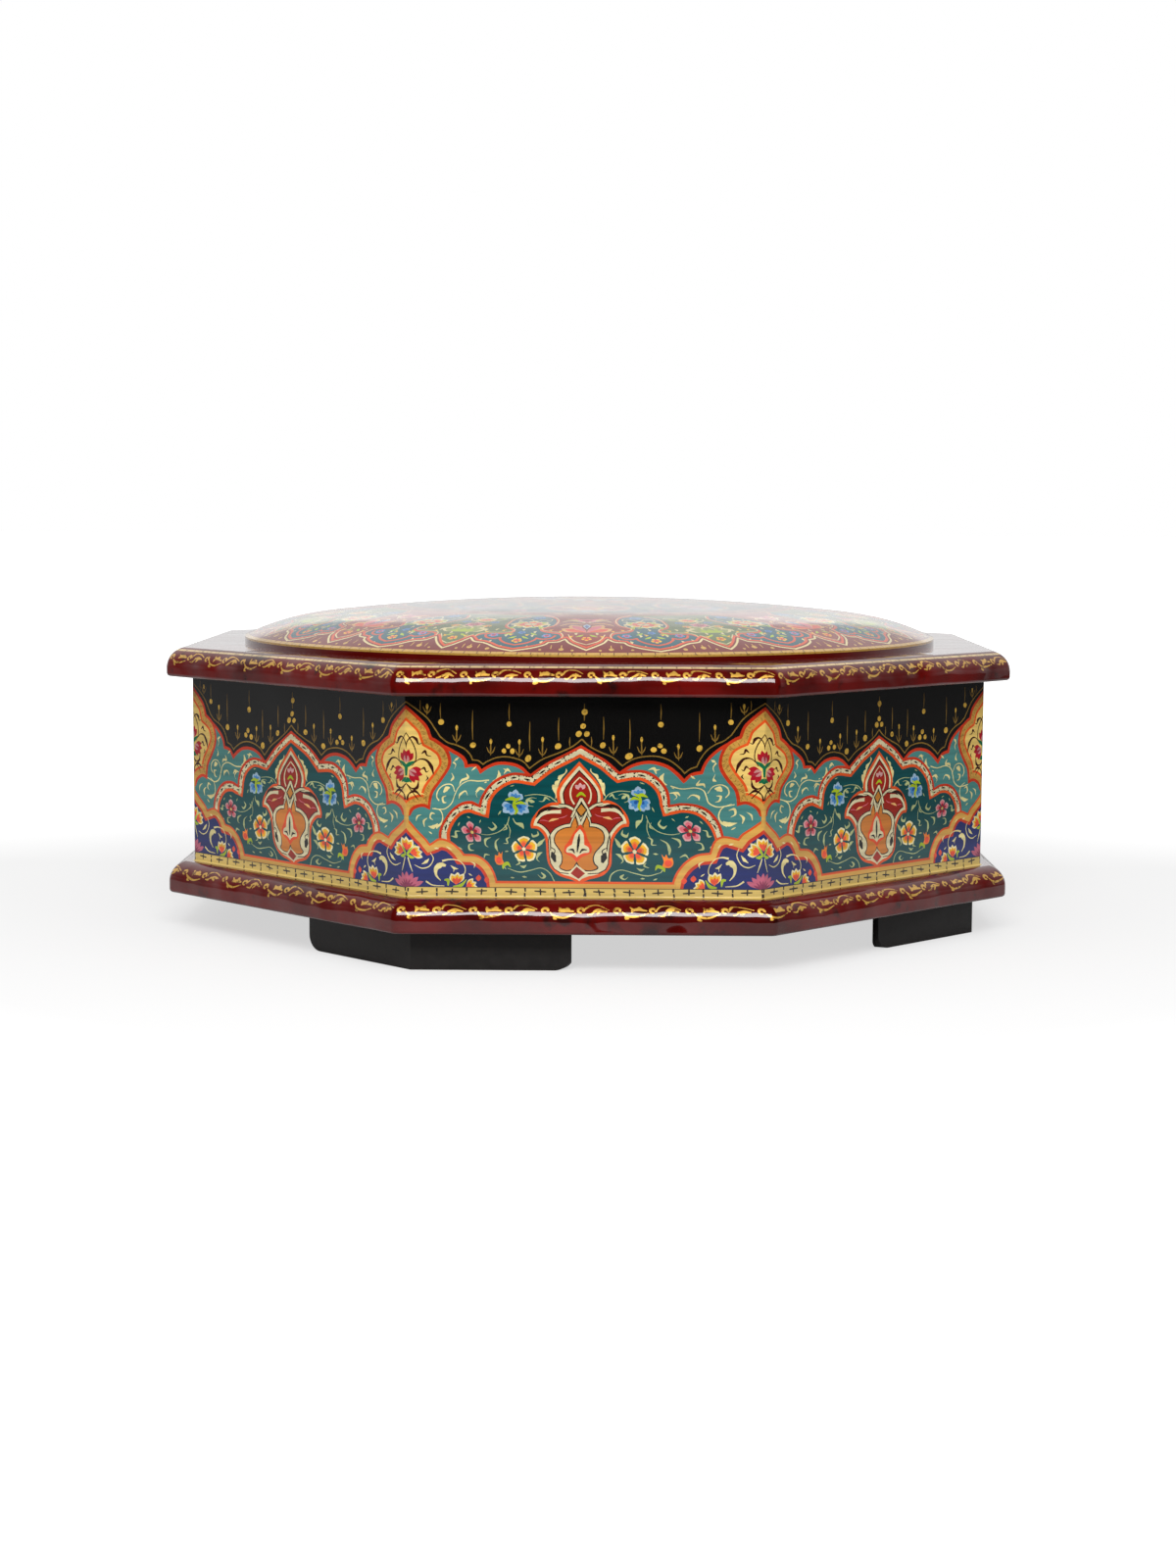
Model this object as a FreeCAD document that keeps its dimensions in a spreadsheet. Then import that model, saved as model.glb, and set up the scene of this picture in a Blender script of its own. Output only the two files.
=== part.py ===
import FreeCAD, Part
import math
import os
import Sketcher
from FreeCAD import Placement, Rotation, Vector

# Octagonal lacquered box with a lift-off domed lid, built of mitred boards on four corner feet.
# Millimetres. +Z is up, -Y is the front, and the origin is on the surface under the middle.

SIDES = 8
FOOT_COUNT = 4
TURN = f"(360 deg / {SIDES})"
HALF = f"(180 deg / {SIDES})"
UP = Vector(0, 0, 1)

# Every driving size, its value and what it measures.
SIZES = [
    ("wall_apothem", 132.8, "middle of the box to the outer face of a wall"),
    ("wall_height", 62.6, "height of the wall boards"),
    ("wall_thickness", 8.0, "thickness of the wall boards"),
    ("board_overhang", 8.2, "how far the base and the lid stand out past the walls"),
    ("base_thickness", 10.4, "thickness of the base board"),
    ("lid_thickness", 9.6, "thickness of the lid board"),
    ("mould_width", 5.3, "width of the rounding along the upper edge of a board"),
    ("mould_height", 6.6, "height of that rounding"),
    ("edge_ease", 1.1, "small rounding along the lower edge of a board"),
    ("foot_height", 12.8, "height of a foot"),
    ("foot_inset", 2.3, "how far a foot's outer faces stand back from the wall faces"),
    ("foot_arm", 50.0, "length of a foot along each wall, from the corner"),
    ("foot_end", 2.4, "thickness of a foot at its blunt ends"),
    ("foot_round", 5.0, "rounding of a foot's lower ends"),
    ("dome_margin", 19.5, "flat of the lid board from the dome's rim to the board's edge"),
    ("dome_edge", 2.0, "height of the dome's upright rim above the lid board"),
    ("shoulder_width", 26.5, "width of the steep outer ring of the dome"),
    ("shoulder_rise", 7.7, "height that the dome gains over that ring"),
    ("crown_rise", 5.3, "height that the dome gains from there to its middle"),
    ("dome_shell", 4.5, "thickness of the papier mache shell"),
    ("seat_depth", 1.0, "depth of the shallow seat that the dome is glued into"),
    ("seat_clearance", 0.15, "gap all round the dome in its seat"),
    ("lip_thickness", 6.0, "thickness of the lip strips under the lid"),
    ("lip_depth", 6.5, "how far the lip reaches down between the walls"),
    ("lip_clearance", 0.6, "gap between the lip and the walls"),
    ("lip_lead", 1.0, "chamfer on the lip's lower outer edge"),
    ("lining_thickness", 1.5, "thickness of the felt on the floor"),
    ("lining_clearance", 0.4, "gap between the felt and the walls"),
    ("pin_spread", 34.0, "distance of a wall pin from the middle of its wall"),
    ("pin_radius", 0.8, "radius of a wall pin"),
    ("pin_head_radius", 1.6, "radius of a wall pin's head"),
    ("pin_head_height", 0.8, "height of a wall pin's head"),
    ("pin_point", 2.0, "length of a wall pin's point"),
    ("pin_reach", 16.0, "how far a pin reaches into its wall"),
    ("pin_clearance", 0.15, "gap round a pin in its hole"),
    ("screw_spread", 22.0, "distance of a foot screw from the middle of its foot"),
    ("screw_setback", 6.0, "distance of a foot screw from the foot's inner face"),
    ("screw_radius", 1.6, "radius of a foot screw"),
    ("screw_head_radius", 3.2, "radius of a foot screw's countersunk head"),
    ("screw_head_height", 1.7, "height of a foot screw's head"),
    ("screw_recess", 1.0, "how deep a screw's head lies in the foot"),
    ("screw_reach", 7.4, "how far a foot screw reaches into the base board"),
    ("screw_point", 2.4, "length of a foot screw's point"),
    ("screw_slot", 0.8, "width and depth of the slot in a screw's head"),
    ("screw_clearance", 0.15, "gap round a foot screw in its hole"),
    ("hole_spare", 0.5, "depth of a blind hole past the tip in it"),
    ("overrun", 4.0, "how far every cut runs past the board that it cuts"),
]

doc = FreeCAD.newDocument("OctagonalBox")
sheet = doc.addObject("Spreadsheet::Sheet", "Sizes")
for row, (alias, value, note) in enumerate(SIZES, start=1):
    sheet.set(f"A{row}", alias)
    sheet.set(f"B{row}", str(value))
    sheet.setAlias(f"B{row}", alias)
    sheet.set(f"C{row}", note)
doc.recompute()

# Places that several pieces share, each worked out from the sizes above.
BASE_Z = "Sizes.foot_height"
WALL_Z = f"({BASE_Z} + Sizes.base_thickness)"
LID_Z = f"({WALL_Z} + Sizes.wall_height)"
BOARD_APOTHEM = "(Sizes.wall_apothem + Sizes.board_overhang)"
INNER_APOTHEM = "(Sizes.wall_apothem - Sizes.wall_thickness)"
LIP_APOTHEM = f"({INNER_APOTHEM} - Sizes.lip_clearance)"
DOME_RADIUS = f"({BOARD_APOTHEM} - Sizes.dome_margin)"
DOME_RISE = "(Sizes.dome_edge + Sizes.shoulder_rise + Sizes.crown_rise)"
PIN_APOTHEM = "(Sizes.wall_apothem - Sizes.wall_thickness / 2)"
FOOT_APOTHEM = "(Sizes.wall_apothem - Sizes.foot_inset)"
FOOT_CORNER = f"({FOOT_APOTHEM} / cos({HALF}))"
FOOT_HALF = f"(Sizes.foot_arm * cos({HALF}))"
FOOT_TIP = f"({FOOT_CORNER} - Sizes.foot_arm * sin({HALF}))"
FOOT_INNER = f"({FOOT_TIP} - Sizes.foot_end * cos({HALF}))"
SCREW_PLACE = f"({FOOT_INNER} + Sizes.screw_setback)"


def number(text):
    """Value in millimetres of an expression in the named sizes."""
    value = sheet.evalExpression(text)
    return float(getattr(value, "Value", value))


def new_body(name, turn=0.0, lift="0"):
    """Empty body at a height, turned about the box's axis by an angle in degrees."""
    body = doc.addObject("PartDesign::Body", name)
    body.Label = name
    body.Placement = Placement(Vector(0, 0, number(lift)), Rotation(UP, turn))
    if lift != "0":
        body.setExpression(".Placement.Base.z", lift)
    return body


def origin_item(body, role):
    """Plane or axis of a body's own origin."""
    return next(item for item in body.Origin.OriginFeatures if item.Role == role)


def new_sketch(body, name, role="XY_Plane", lift="0"):
    """Sketch on a plane of the body's origin, moved along the plane's normal."""
    sketch = body.newObject("Sketcher::SketchObject", name)
    sketch.AttachmentSupport = (origin_item(body, role), [""])
    sketch.MapMode = "FlatFace"
    if lift != "0":
        sketch.setExpression(".AttachmentOffset.Base.z", lift)
    return sketch


def bind(sketch, kind, place, text):
    """Dimension that follows an expression."""
    index = sketch.addConstraint(Sketcher.Constraint(kind, *place, number(text)))
    sketch.setExpression(f"Constraints[{index}]", text)


def pin_point(sketch, line, end, x, y):
    """Fix a point of the sketch at two expressions; zero puts it on an axis."""
    for kind, axis, text in (("DistanceX", -2, x), ("DistanceY", -1, y)):
        if text == "0":
            sketch.addConstraint(Sketcher.Constraint("PointOnObject", line, end, axis))
        else:
            bind(sketch, kind, (-1, 1, line, end), text)


def draw_outline(sketch, corners):
    """Closed outline through corners (x, y) or (x, y, radius).

    A corner with a radius starts an arc to the next corner. The arc's centre lies to the left of
    the way there, and the arc is shorter than a half circle.
    """
    places = [Vector(number(corner[0]), number(corner[1]), 0) for corner in corners]
    count = len(corners)
    ends = []
    for index, corner in enumerate(corners):
        here = places[index]
        there = places[(index + 1) % count]
        if len(corner) == 3:
            radius = number(corner[2])
            chord = there - here
            rise = math.sqrt(max(radius ** 2 - (chord.Length / 2) ** 2, 0))
            middle = (here + there) * 0.5 + Vector(-chord.y, chord.x, 0) * (rise / chord.Length)
            first = math.atan2(here.y - middle.y, here.x - middle.x)
            last = math.atan2(there.y - middle.y, there.x - middle.x)
            circle = Part.Circle(middle, UP, radius)
            line = sketch.addGeometry(Part.ArcOfCircle(circle, first, last), False)
        else:
            line = sketch.addGeometry(Part.LineSegment(here, there), False)
        ends.append(line)
    for index, line in enumerate(ends):
        before = ends[index - 1]
        sketch.addConstraint(Sketcher.Constraint("Coincident", before, 2, line, 1))
    for line, corner in zip(ends, corners):
        pin_point(sketch, line, 1, corner[0], corner[1])
        if len(corner) == 3:
            bind(sketch, "Radius", (line,), corner[2])


def draw_circle(sketch, x, y, radius):
    """Circle at two expressions with a radius."""
    middle = Vector(number(x), number(y), 0)
    line = sketch.addGeometry(Part.Circle(middle, UP, number(radius)), False)
    pin_point(sketch, line, 3, x, y)
    bind(sketch, "Radius", (line,), radius)


def pad(body, name, sketch, length):
    """Pad a sketch upwards."""
    feature = body.newObject("PartDesign::Pad", name)
    feature.Profile = sketch
    feature.setExpression("Length", length)
    doc.recompute()
    return feature


def pocket(body, name, sketch, length, upwards=False, both_ways=False):
    """Cut a sketch out of the body and stop if nothing came off."""
    before = body.Shape.Volume
    feature = body.newObject("PartDesign::Pocket", name)
    feature.Profile = sketch
    feature.Reversed = upwards
    feature.Midplane = both_ways
    feature.setExpression("Length", length)
    doc.recompute()
    if not body.Shape.Volume < before:
        raise RuntimeError(f"{body.Label}: {name} cut nothing")
    return feature


def polar(body, name, features, count):
    """Repeat features round the box's axis."""
    pattern = body.newObject("PartDesign::PolarPattern", name)
    pattern.Originals = features
    pattern.Axis = (origin_item(body, "Z_Axis"), [""])
    pattern.Angle = 360
    pattern.Occurrences = count
    body.Tip = pattern
    doc.recompute()
    return pattern


def octagon_corners(apothem):
    """Corners of a regular octagon with a side across the front."""
    reach = f"({apothem} / cos({HALF}))"
    corners = []
    for index in range(SIDES):
        angle = f"({index} * {TURN} - 90 deg + {HALF})"
        corners.append((f"{reach} * cos({angle})", f"{reach} * sin({angle})"))
    return corners


def moulded_board(name, thickness, lift):
    """Octagonal board whose upper edge is rounded over and whose lower edge is eased.

    One cut along the front edge takes off both roundings, and it is repeated round the board.
    """
    body = new_body(name, lift=lift)
    plan = new_sketch(body, f"{name}_plan")
    draw_outline(plan, octagon_corners(BOARD_APOTHEM))
    pad(body, f"{name}_pad", plan, thickness)

    edge = f"(-{BOARD_APOTHEM})"
    width, height = "Sizes.mould_width", "Sizes.mould_height"
    radius = f"(({width} ^ 2 + {height} ^ 2) / (2 * {width}))"
    section = new_sketch(body, f"{name}_moulding", "YZ_Plane")
    draw_outline(section, [
        (edge, f"{thickness} - {height}"),
        (f"{edge} - Sizes.overrun", f"{thickness} - {height}"),
        (f"{edge} - Sizes.overrun", f"{thickness} + Sizes.overrun"),
        (f"{edge} + {width}", f"{thickness} + Sizes.overrun"),
        (f"{edge} + {width}", thickness, radius),
    ])
    draw_outline(section, [
        (f"{edge} + Sizes.edge_ease", "0"),
        (f"{edge} + Sizes.edge_ease", "-Sizes.overrun"),
        (f"{edge} - Sizes.overrun", "-Sizes.overrun"),
        (f"{edge} - Sizes.overrun", "Sizes.edge_ease"),
        (edge, "Sizes.edge_ease", "Sizes.edge_ease"),
    ])
    side = f"(2 * {BOARD_APOTHEM} * tan({HALF}) + 2 * Sizes.overrun)"
    cut = pocket(body, f"{name}_edge", section, side, both_ways=True)
    polar(body, f"{name}_edges", [cut], SIDES)
    return body


def make_base_board():
    """Base board, with holes for the wall pins and pilot holes for the foot screws."""
    name = "base_board"
    thickness = "Sizes.base_thickness"
    body = moulded_board(name, thickness, BASE_Z)
    through = f"({thickness} + Sizes.overrun)"

    shank = new_sketch(body, "pin_shank_plan")
    head = new_sketch(body, "pin_head_plan")
    for side in ("-", ""):
        x = f"{side}Sizes.pin_spread"
        y = f"-{PIN_APOTHEM}"
        draw_circle(shank, x, y, "(Sizes.pin_radius + Sizes.pin_clearance)")
        draw_circle(head, x, y, "(Sizes.pin_head_radius + Sizes.pin_clearance)")
    shanks = pocket(body, "pin_shank_holes", shank, through, upwards=True)
    heads = pocket(body, "pin_head_seats", head, "Sizes.pin_head_height", upwards=True)
    polar(body, "pin_holes", [shanks, heads], SIDES)

    pilot = new_sketch(body, "screw_pilot_plan")
    for side in ("-", ""):
        x = f"(-{SCREW_PLACE} * sin({HALF}) {side or '+'} Sizes.screw_spread * cos({HALF}))"
        y = f"(-{SCREW_PLACE} * cos({HALF}) {'+' if side else '-'} Sizes.screw_spread * sin({HALF}))"
        draw_circle(pilot, x, y, "(Sizes.screw_radius + Sizes.screw_clearance)")
    depth = "(Sizes.screw_reach + Sizes.hole_spare)"
    pilots = pocket(body, "screw_pilots", pilot, depth, upwards=True)
    polar(body, "screw_pilot_holes", [pilots], FOOT_COUNT)
    return body


def mitred_strip(body, apothem, thickness, height):
    """Board along the front side of an octagon, mitred to its neighbours at both ends."""
    inner = f"({apothem} - {thickness})"
    plan = new_sketch(body, f"{body.Label}_plan")
    draw_outline(plan, [
        (f"-{apothem} * tan({HALF})", f"-{apothem}"),
        (f"{apothem} * tan({HALF})", f"-{apothem}"),
        (f"{inner} * tan({HALF})", f"-{inner}"),
        (f"-{inner} * tan({HALF})", f"-{inner}"),
    ])
    pad(body, f"{body.Label}_pad", plan, height)


def make_wall(name, turn):
    """One wall board, with two blind holes in its foot for the pins."""
    body = new_body(name, turn, WALL_Z)
    mitred_strip(body, "Sizes.wall_apothem", "Sizes.wall_thickness", "Sizes.wall_height")
    holes = new_sketch(body, f"{name}_holes")
    for side in ("-", ""):
        x = f"{side}Sizes.pin_spread"
        draw_circle(holes, x, f"-{PIN_APOTHEM}", "(Sizes.pin_radius + Sizes.pin_clearance)")
    depth = "(Sizes.pin_reach + Sizes.hole_spare)"
    pocket(body, f"{name}_pin_holes", holes, depth, upwards=True)
    return body


def make_lip(name, turn):
    """One strip of the lip that keeps the lid in place, chamfered to find its way in."""
    body = new_body(name, turn, f"{LID_Z} - Sizes.lip_depth")
    mitred_strip(body, LIP_APOTHEM, "Sizes.lip_thickness", "Sizes.lip_depth")
    lead = new_sketch(body, f"{name}_lead", "YZ_Plane")
    draw_outline(lead, [
        (f"-{LIP_APOTHEM} + Sizes.lip_lead", "0"),
        (f"-{LIP_APOTHEM} + Sizes.lip_lead", "-Sizes.overrun"),
        (f"-{LIP_APOTHEM} - Sizes.overrun", "-Sizes.overrun"),
        (f"-{LIP_APOTHEM} - Sizes.overrun", "Sizes.lip_lead"),
        (f"-{LIP_APOTHEM}", "Sizes.lip_lead"),
    ])
    length = f"(2 * {LIP_APOTHEM} * tan({HALF}) + 2 * Sizes.overrun)"
    pocket(body, f"{name}_chamfer", lead, length, both_ways=True)
    return body


def screw_hole(body, name, x):
    """Countersunk hole for one foot screw, open at the foot's underside."""
    clearance = "Sizes.screw_clearance"
    radius = f"(Sizes.screw_radius + {clearance})"
    head = f"(Sizes.screw_head_radius + {clearance})"
    shapes = [
        ("shank", "SubtractiveCylinder", {"Radius": radius}, "-Sizes.overrun",
         "(Sizes.foot_height + 2 * Sizes.overrun)"),
        ("recess", "SubtractiveCylinder", {"Radius": head}, "-Sizes.overrun",
         "(Sizes.screw_recess + Sizes.overrun)"),
        ("countersink", "SubtractiveCone", {"Radius1": head, "Radius2": radius},
         "Sizes.screw_recess", "Sizes.screw_head_height"),
    ]
    for part, kind, radii, bottom, height in shapes:
        before = body.Shape.Volume
        feature = body.newObject(f"PartDesign::{kind}", f"{name}_{part}")
        for field, text in radii.items():
            feature.setExpression(field, text)
        feature.setExpression("Height", height)
        feature.setExpression(".Placement.Base.x", x)
        feature.setExpression(".Placement.Base.y", f"-{SCREW_PLACE}")
        feature.setExpression(".Placement.Base.z", bottom)
        doc.recompute()
        if not body.Shape.Volume < before:
            raise RuntimeError(f"{body.Label}: {feature.Label} cut nothing")


def make_foot(name, turn):
    """Low corner block: two outer faces along the walls, blunt ends and a straight inner side."""
    body = new_body(name, turn)
    end_x = f"({FOOT_HALF} - Sizes.foot_end * sin({HALF}))"
    plan = new_sketch(body, f"{name}_plan")
    draw_outline(plan, [
        ("0", f"-{FOOT_CORNER}"),
        (FOOT_HALF, f"-{FOOT_TIP}"),
        (end_x, f"-{FOOT_INNER}"),
        (f"-{end_x}", f"-{FOOT_INNER}"),
        (f"-{FOOT_HALF}", f"-{FOOT_TIP}"),
    ])
    pad(body, f"{name}_pad", plan, "Sizes.foot_height")

    ends = new_sketch(body, f"{name}_ends", "XZ_Plane")
    draw_outline(ends, [
        (FOOT_HALF, "Sizes.foot_round"),
        (f"{FOOT_HALF} + Sizes.overrun", "Sizes.foot_round"),
        (f"{FOOT_HALF} + Sizes.overrun", "-Sizes.overrun"),
        (f"{FOOT_HALF} - Sizes.foot_round", "-Sizes.overrun"),
        (f"{FOOT_HALF} - Sizes.foot_round", "0", "Sizes.foot_round"),
    ])
    draw_outline(ends, [
        (f"-{FOOT_HALF}", "Sizes.foot_round", "Sizes.foot_round"),
        (f"-{FOOT_HALF} + Sizes.foot_round", "0"),
        (f"-{FOOT_HALF} + Sizes.foot_round", "-Sizes.overrun"),
        (f"-{FOOT_HALF} - Sizes.overrun", "-Sizes.overrun"),
        (f"-{FOOT_HALF} - Sizes.overrun", "Sizes.foot_round"),
    ])
    reach = f"(2 * {FOOT_CORNER} + 2 * Sizes.overrun)"
    pocket(body, f"{name}_round_ends", ends, reach, both_ways=True)
    screw_hole(body, f"{name}_left", "-Sizes.screw_spread")
    screw_hole(body, f"{name}_right", "Sizes.screw_spread")
    return body


def make_lid_board():
    """Lid board, with the shallow round seat of the dome in its top."""
    name = "lid_board"
    body = moulded_board(name, "Sizes.lid_thickness", LID_Z)
    seat = new_sketch(body, "dome_seat_plan", lift="Sizes.lid_thickness")
    draw_circle(seat, "0", "0", f"({DOME_RADIUS} + Sizes.seat_clearance)")
    pocket(body, "dome_seat", seat, "Sizes.seat_depth")
    return body


def dome_section(body):
    """Half section of the dome: a flat crown arc, a shoulder arc tangent to it and an upright rim.

    The inner side runs parallel to the outer one at the shell's thickness.
    """
    sketch = new_sketch(body, "dome_section", "XZ_Plane")
    radius = number(DOME_RADIUS)
    rise = number(DOME_RISE)
    crown = number("Sizes.crown_rise")
    shell = number("Sizes.dome_shell")
    edge = number("Sizes.dome_edge")
    seat = number("Sizes.seat_depth")
    start = radius - number("Sizes.shoulder_width")
    crown_radius = (start ** 2 + crown ** 2) / (2 * crown)
    crown_middle = Vector(0, rise - crown_radius, 0)
    joint = Vector(start, rise - crown, 0)
    normal = (joint - crown_middle) * (1 / crown_radius)
    span = Vector(radius, edge, 0) - joint
    shoulder_radius = -span.dot(span) / (2 * span.dot(normal))
    shoulder_middle = joint - normal * shoulder_radius
    lean = math.atan2(normal.y, normal.x)
    outer_rim = math.atan2(edge - shoulder_middle.y, radius - shoulder_middle.x)
    inner_rim = math.asin((-seat - shoulder_middle.y) / (shoulder_radius - shell))
    inner_x = shoulder_middle.x + (shoulder_radius - shell) * math.cos(inner_rim)

    def arc(middle, size, first, last):
        return sketch.addGeometry(Part.ArcOfCircle(Part.Circle(middle, UP, size), first, last), False)

    def line(first, last):
        return sketch.addGeometry(Part.LineSegment(Vector(*first, 0), Vector(*last, 0)), False)

    crown_out = arc(crown_middle, crown_radius, lean, math.pi / 2)
    shoulder_out = arc(shoulder_middle, shoulder_radius, outer_rim, lean)
    rim = line((radius, edge), (radius, -seat))
    foot = line((radius, -seat), (inner_x, -seat))
    shoulder_in = arc(shoulder_middle, shoulder_radius - shell, inner_rim, lean)
    crown_in = arc(crown_middle, crown_radius - shell, lean, math.pi / 2)
    axis = line((0, rise - shell), (0, rise))

    for kind, place in (
        ("Tangent", (crown_out, 1, shoulder_out, 2)),
        ("Coincident", (shoulder_out, 1, rim, 1)),
        ("Coincident", (rim, 2, foot, 1)),
        ("Coincident", (foot, 2, shoulder_in, 1)),
        ("Tangent", (shoulder_in, 2, crown_in, 1)),
        ("Coincident", (crown_in, 2, axis, 1)),
        ("Coincident", (axis, 2, crown_out, 2)),
        ("Coincident", (crown_out, 3, crown_in, 3)),
        ("Coincident", (shoulder_out, 3, shoulder_in, 3)),
        ("PointOnObject", (crown_out, 3, -2)),
        ("PointOnObject", (axis, 1, -2)),
        ("PointOnObject", (axis, 2, -2)),
        ("Vertical", (rim,)),
        ("Horizontal", (foot,)),
    ):
        sketch.addConstraint(Sketcher.Constraint(kind, *place))
    bind(sketch, "DistanceY", (-1, 1, axis, 2), DOME_RISE)
    bind(sketch, "DistanceY", (axis, 1, axis, 2), "Sizes.dome_shell")
    bind(sketch, "DistanceX", (-1, 1, crown_out, 1), f"{DOME_RADIUS} - Sizes.shoulder_width")
    bind(sketch, "DistanceY", (-1, 1, crown_out, 1), "Sizes.dome_edge + Sizes.shoulder_rise")
    bind(sketch, "DistanceX", (-1, 1, rim, 1), DOME_RADIUS)
    bind(sketch, "DistanceY", (-1, 1, rim, 1), "Sizes.dome_edge")
    bind(sketch, "DistanceY", (-1, 1, rim, 2), "-Sizes.seat_depth")
    return sketch


def make_lid_dome():
    """Shallow hollow dome of papier mache, glued into the seat of the lid board."""
    body = new_body("lid_dome", lift=f"{LID_Z} + Sizes.lid_thickness")
    section = dome_section(body)
    turned = body.newObject("PartDesign::Revolution", "dome_turned")
    turned.Profile = section
    turned.ReferenceAxis = (section, ["V_Axis"])
    turned.Angle = 360
    doc.recompute()
    return body


def make_floor_lining():
    """Sheet of felt on the floor of the box."""
    body = new_body("floor_lining", lift=WALL_Z)
    plan = new_sketch(body, "lining_plan")
    draw_outline(plan, octagon_corners(f"({INNER_APOTHEM} - Sizes.lining_clearance)"))
    pad(body, "lining_pad", plan, "Sizes.lining_thickness")
    return body


def turned_fastener(outline):
    """Solid of revolution about the upright axis, from points (radius, height)."""
    points = [Vector(x, 0, z) for x, z in outline]
    face = Part.Face(Part.makePolygon(points + points[:1]))
    return face.revolve(Vector(0, 0, 0), UP, 360)


def fastener_group(name, shape, places, lift):
    """Node that holds equal fasteners as separate solids."""
    copies = []
    for x, y, turn in places:
        copy = shape.copy()
        spot = Rotation(UP, turn).multVec(Vector(x, y, 0))
        copy.Placement = Placement(spot, Rotation(UP, turn))
        copies.append(copy)
    group = doc.addObject("Part::Feature", name)
    group.Label = name
    group.Shape = Part.makeCompound(copies)
    group.Placement = Placement(Vector(0, 0, number(lift)), Rotation())
    return group


def make_wall_pins():
    """Headed pins driven up through the base board into the walls, two to a wall."""
    radius = number("Sizes.pin_radius")
    head = number("Sizes.pin_head_height")
    length = number("Sizes.base_thickness + Sizes.pin_reach")
    shape = turned_fastener([
        (0, 0),
        (number("Sizes.pin_head_radius"), 0),
        (number("Sizes.pin_head_radius"), head),
        (radius, head),
        (radius, length - number("Sizes.pin_point")),
        (0, length),
    ])
    spread = number("Sizes.pin_spread")
    y = -number(PIN_APOTHEM)
    turns = [index * number(TURN) for index in range(SIDES)]
    places = [(side, y, turn) for turn in turns for side in (-spread, spread)]
    return fastener_group("wall_pins", shape, places, BASE_Z)


def make_foot_screws():
    """Slotted countersunk screws, driven up through the feet into the base board."""
    radius = number("Sizes.screw_radius")
    head = number("Sizes.screw_head_height")
    head_radius = number("Sizes.screw_head_radius")
    slot = number("Sizes.screw_slot")
    length = number("Sizes.foot_height - Sizes.screw_recess + Sizes.screw_reach")
    shape = turned_fastener([
        (0, 0),
        (head_radius, 0),
        (radius, head),
        (radius, length - number("Sizes.screw_point")),
        (0, length),
    ])
    groove = Part.makeBox(2 * head_radius, slot, 2 * slot, Vector(-head_radius, -slot / 2, -slot))
    shape = shape.cut(groove)
    spread = number("Sizes.screw_spread")
    y = -number(SCREW_PLACE)
    places = [(side, y, turn) for turn in foot_turns() for side in (-spread, spread)]
    return fastener_group("foot_screws", shape, places, "Sizes.screw_recess")


def foot_turns():
    """Angles in degrees that bring a foot to its corner, the front left one first."""
    return [index * 360 / FOOT_COUNT - number(HALF) for index in range(FOOT_COUNT)]


SIDE_NAMES = ("front", "front_right", "right", "back_right", "back", "back_left", "left", "front_left")
FOOT_NAMES = ("foot_front_left", "foot_right_front", "foot_back_right", "foot_left_back")

nodes = [make_base_board(), make_floor_lining()]
for index, side in enumerate(SIDE_NAMES):
    nodes.append(make_wall(f"wall_{side}", index * number(TURN)))
for label, turn in zip(FOOT_NAMES, foot_turns()):
    nodes.append(make_foot(label, turn))
nodes += [make_wall_pins(), make_foot_screws(), make_lid_board(), make_lid_dome()]
for index, side in enumerate(SIDE_NAMES):
    nodes.append(make_lip(f"lip_{side}", index * number(TURN)))

doc.recompute()
for item in doc.Objects:
    if "Invalid" in item.State or "Error" in item.State:
        raise RuntimeError(f"{item.Label} failed: {item.State}")
for node in nodes:
    if node.Shape.isNull() or not node.Shape.isValid():
        raise RuntimeError(f"{node.Label} has no valid shape")

os.makedirs("parts", exist_ok=True)
whole = FreeCAD.BoundBox()
for node in nodes:
    node.Shape.exportStep(f"parts/{node.Label}.step")
    box = node.Shape.optimalBoundingBox(False)
    whole.add(box)
    print(f"{node.Label}: {len(node.Shape.Solids)} solid, {node.Shape.Volume / 1000:.2f} cm3, "
          f"z {box.ZMin:.2f} to {box.ZMax:.2f}")
print(f"overall {whole.XLength:.2f} x {whole.YLength:.2f} x {whole.ZLength:.2f} mm")
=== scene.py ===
import bmesh
import bpy
import numpy as np
from mathutils import Matrix, Vector
from mathutils.geometry import delaunay_2d_cdt


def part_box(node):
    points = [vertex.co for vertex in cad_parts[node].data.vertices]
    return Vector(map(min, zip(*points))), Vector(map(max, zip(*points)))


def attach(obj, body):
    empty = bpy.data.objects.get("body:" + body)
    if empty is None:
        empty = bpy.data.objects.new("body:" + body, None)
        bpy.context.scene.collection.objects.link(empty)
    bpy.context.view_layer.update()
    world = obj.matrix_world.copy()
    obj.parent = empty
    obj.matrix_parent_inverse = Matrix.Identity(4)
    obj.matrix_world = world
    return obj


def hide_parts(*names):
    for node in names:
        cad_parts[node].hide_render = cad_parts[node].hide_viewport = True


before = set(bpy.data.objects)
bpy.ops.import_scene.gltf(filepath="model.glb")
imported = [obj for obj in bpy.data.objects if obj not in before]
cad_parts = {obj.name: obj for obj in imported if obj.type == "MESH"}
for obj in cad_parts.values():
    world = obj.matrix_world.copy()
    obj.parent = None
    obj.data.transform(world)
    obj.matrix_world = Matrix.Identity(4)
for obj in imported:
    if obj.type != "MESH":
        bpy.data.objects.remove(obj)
bpy.context.view_layer.update()
MM = 0.001

# %% [markdown]
# The object is an eight-sided papier mache box. Its shape is simple and its painting is not, so most of this
# lesson is about painting. Everything is worked out in millimetres and turned to metres when a mesh is made.
# The main sizes are read from the frame, so that the painted boards lie where the construction says.

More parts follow.
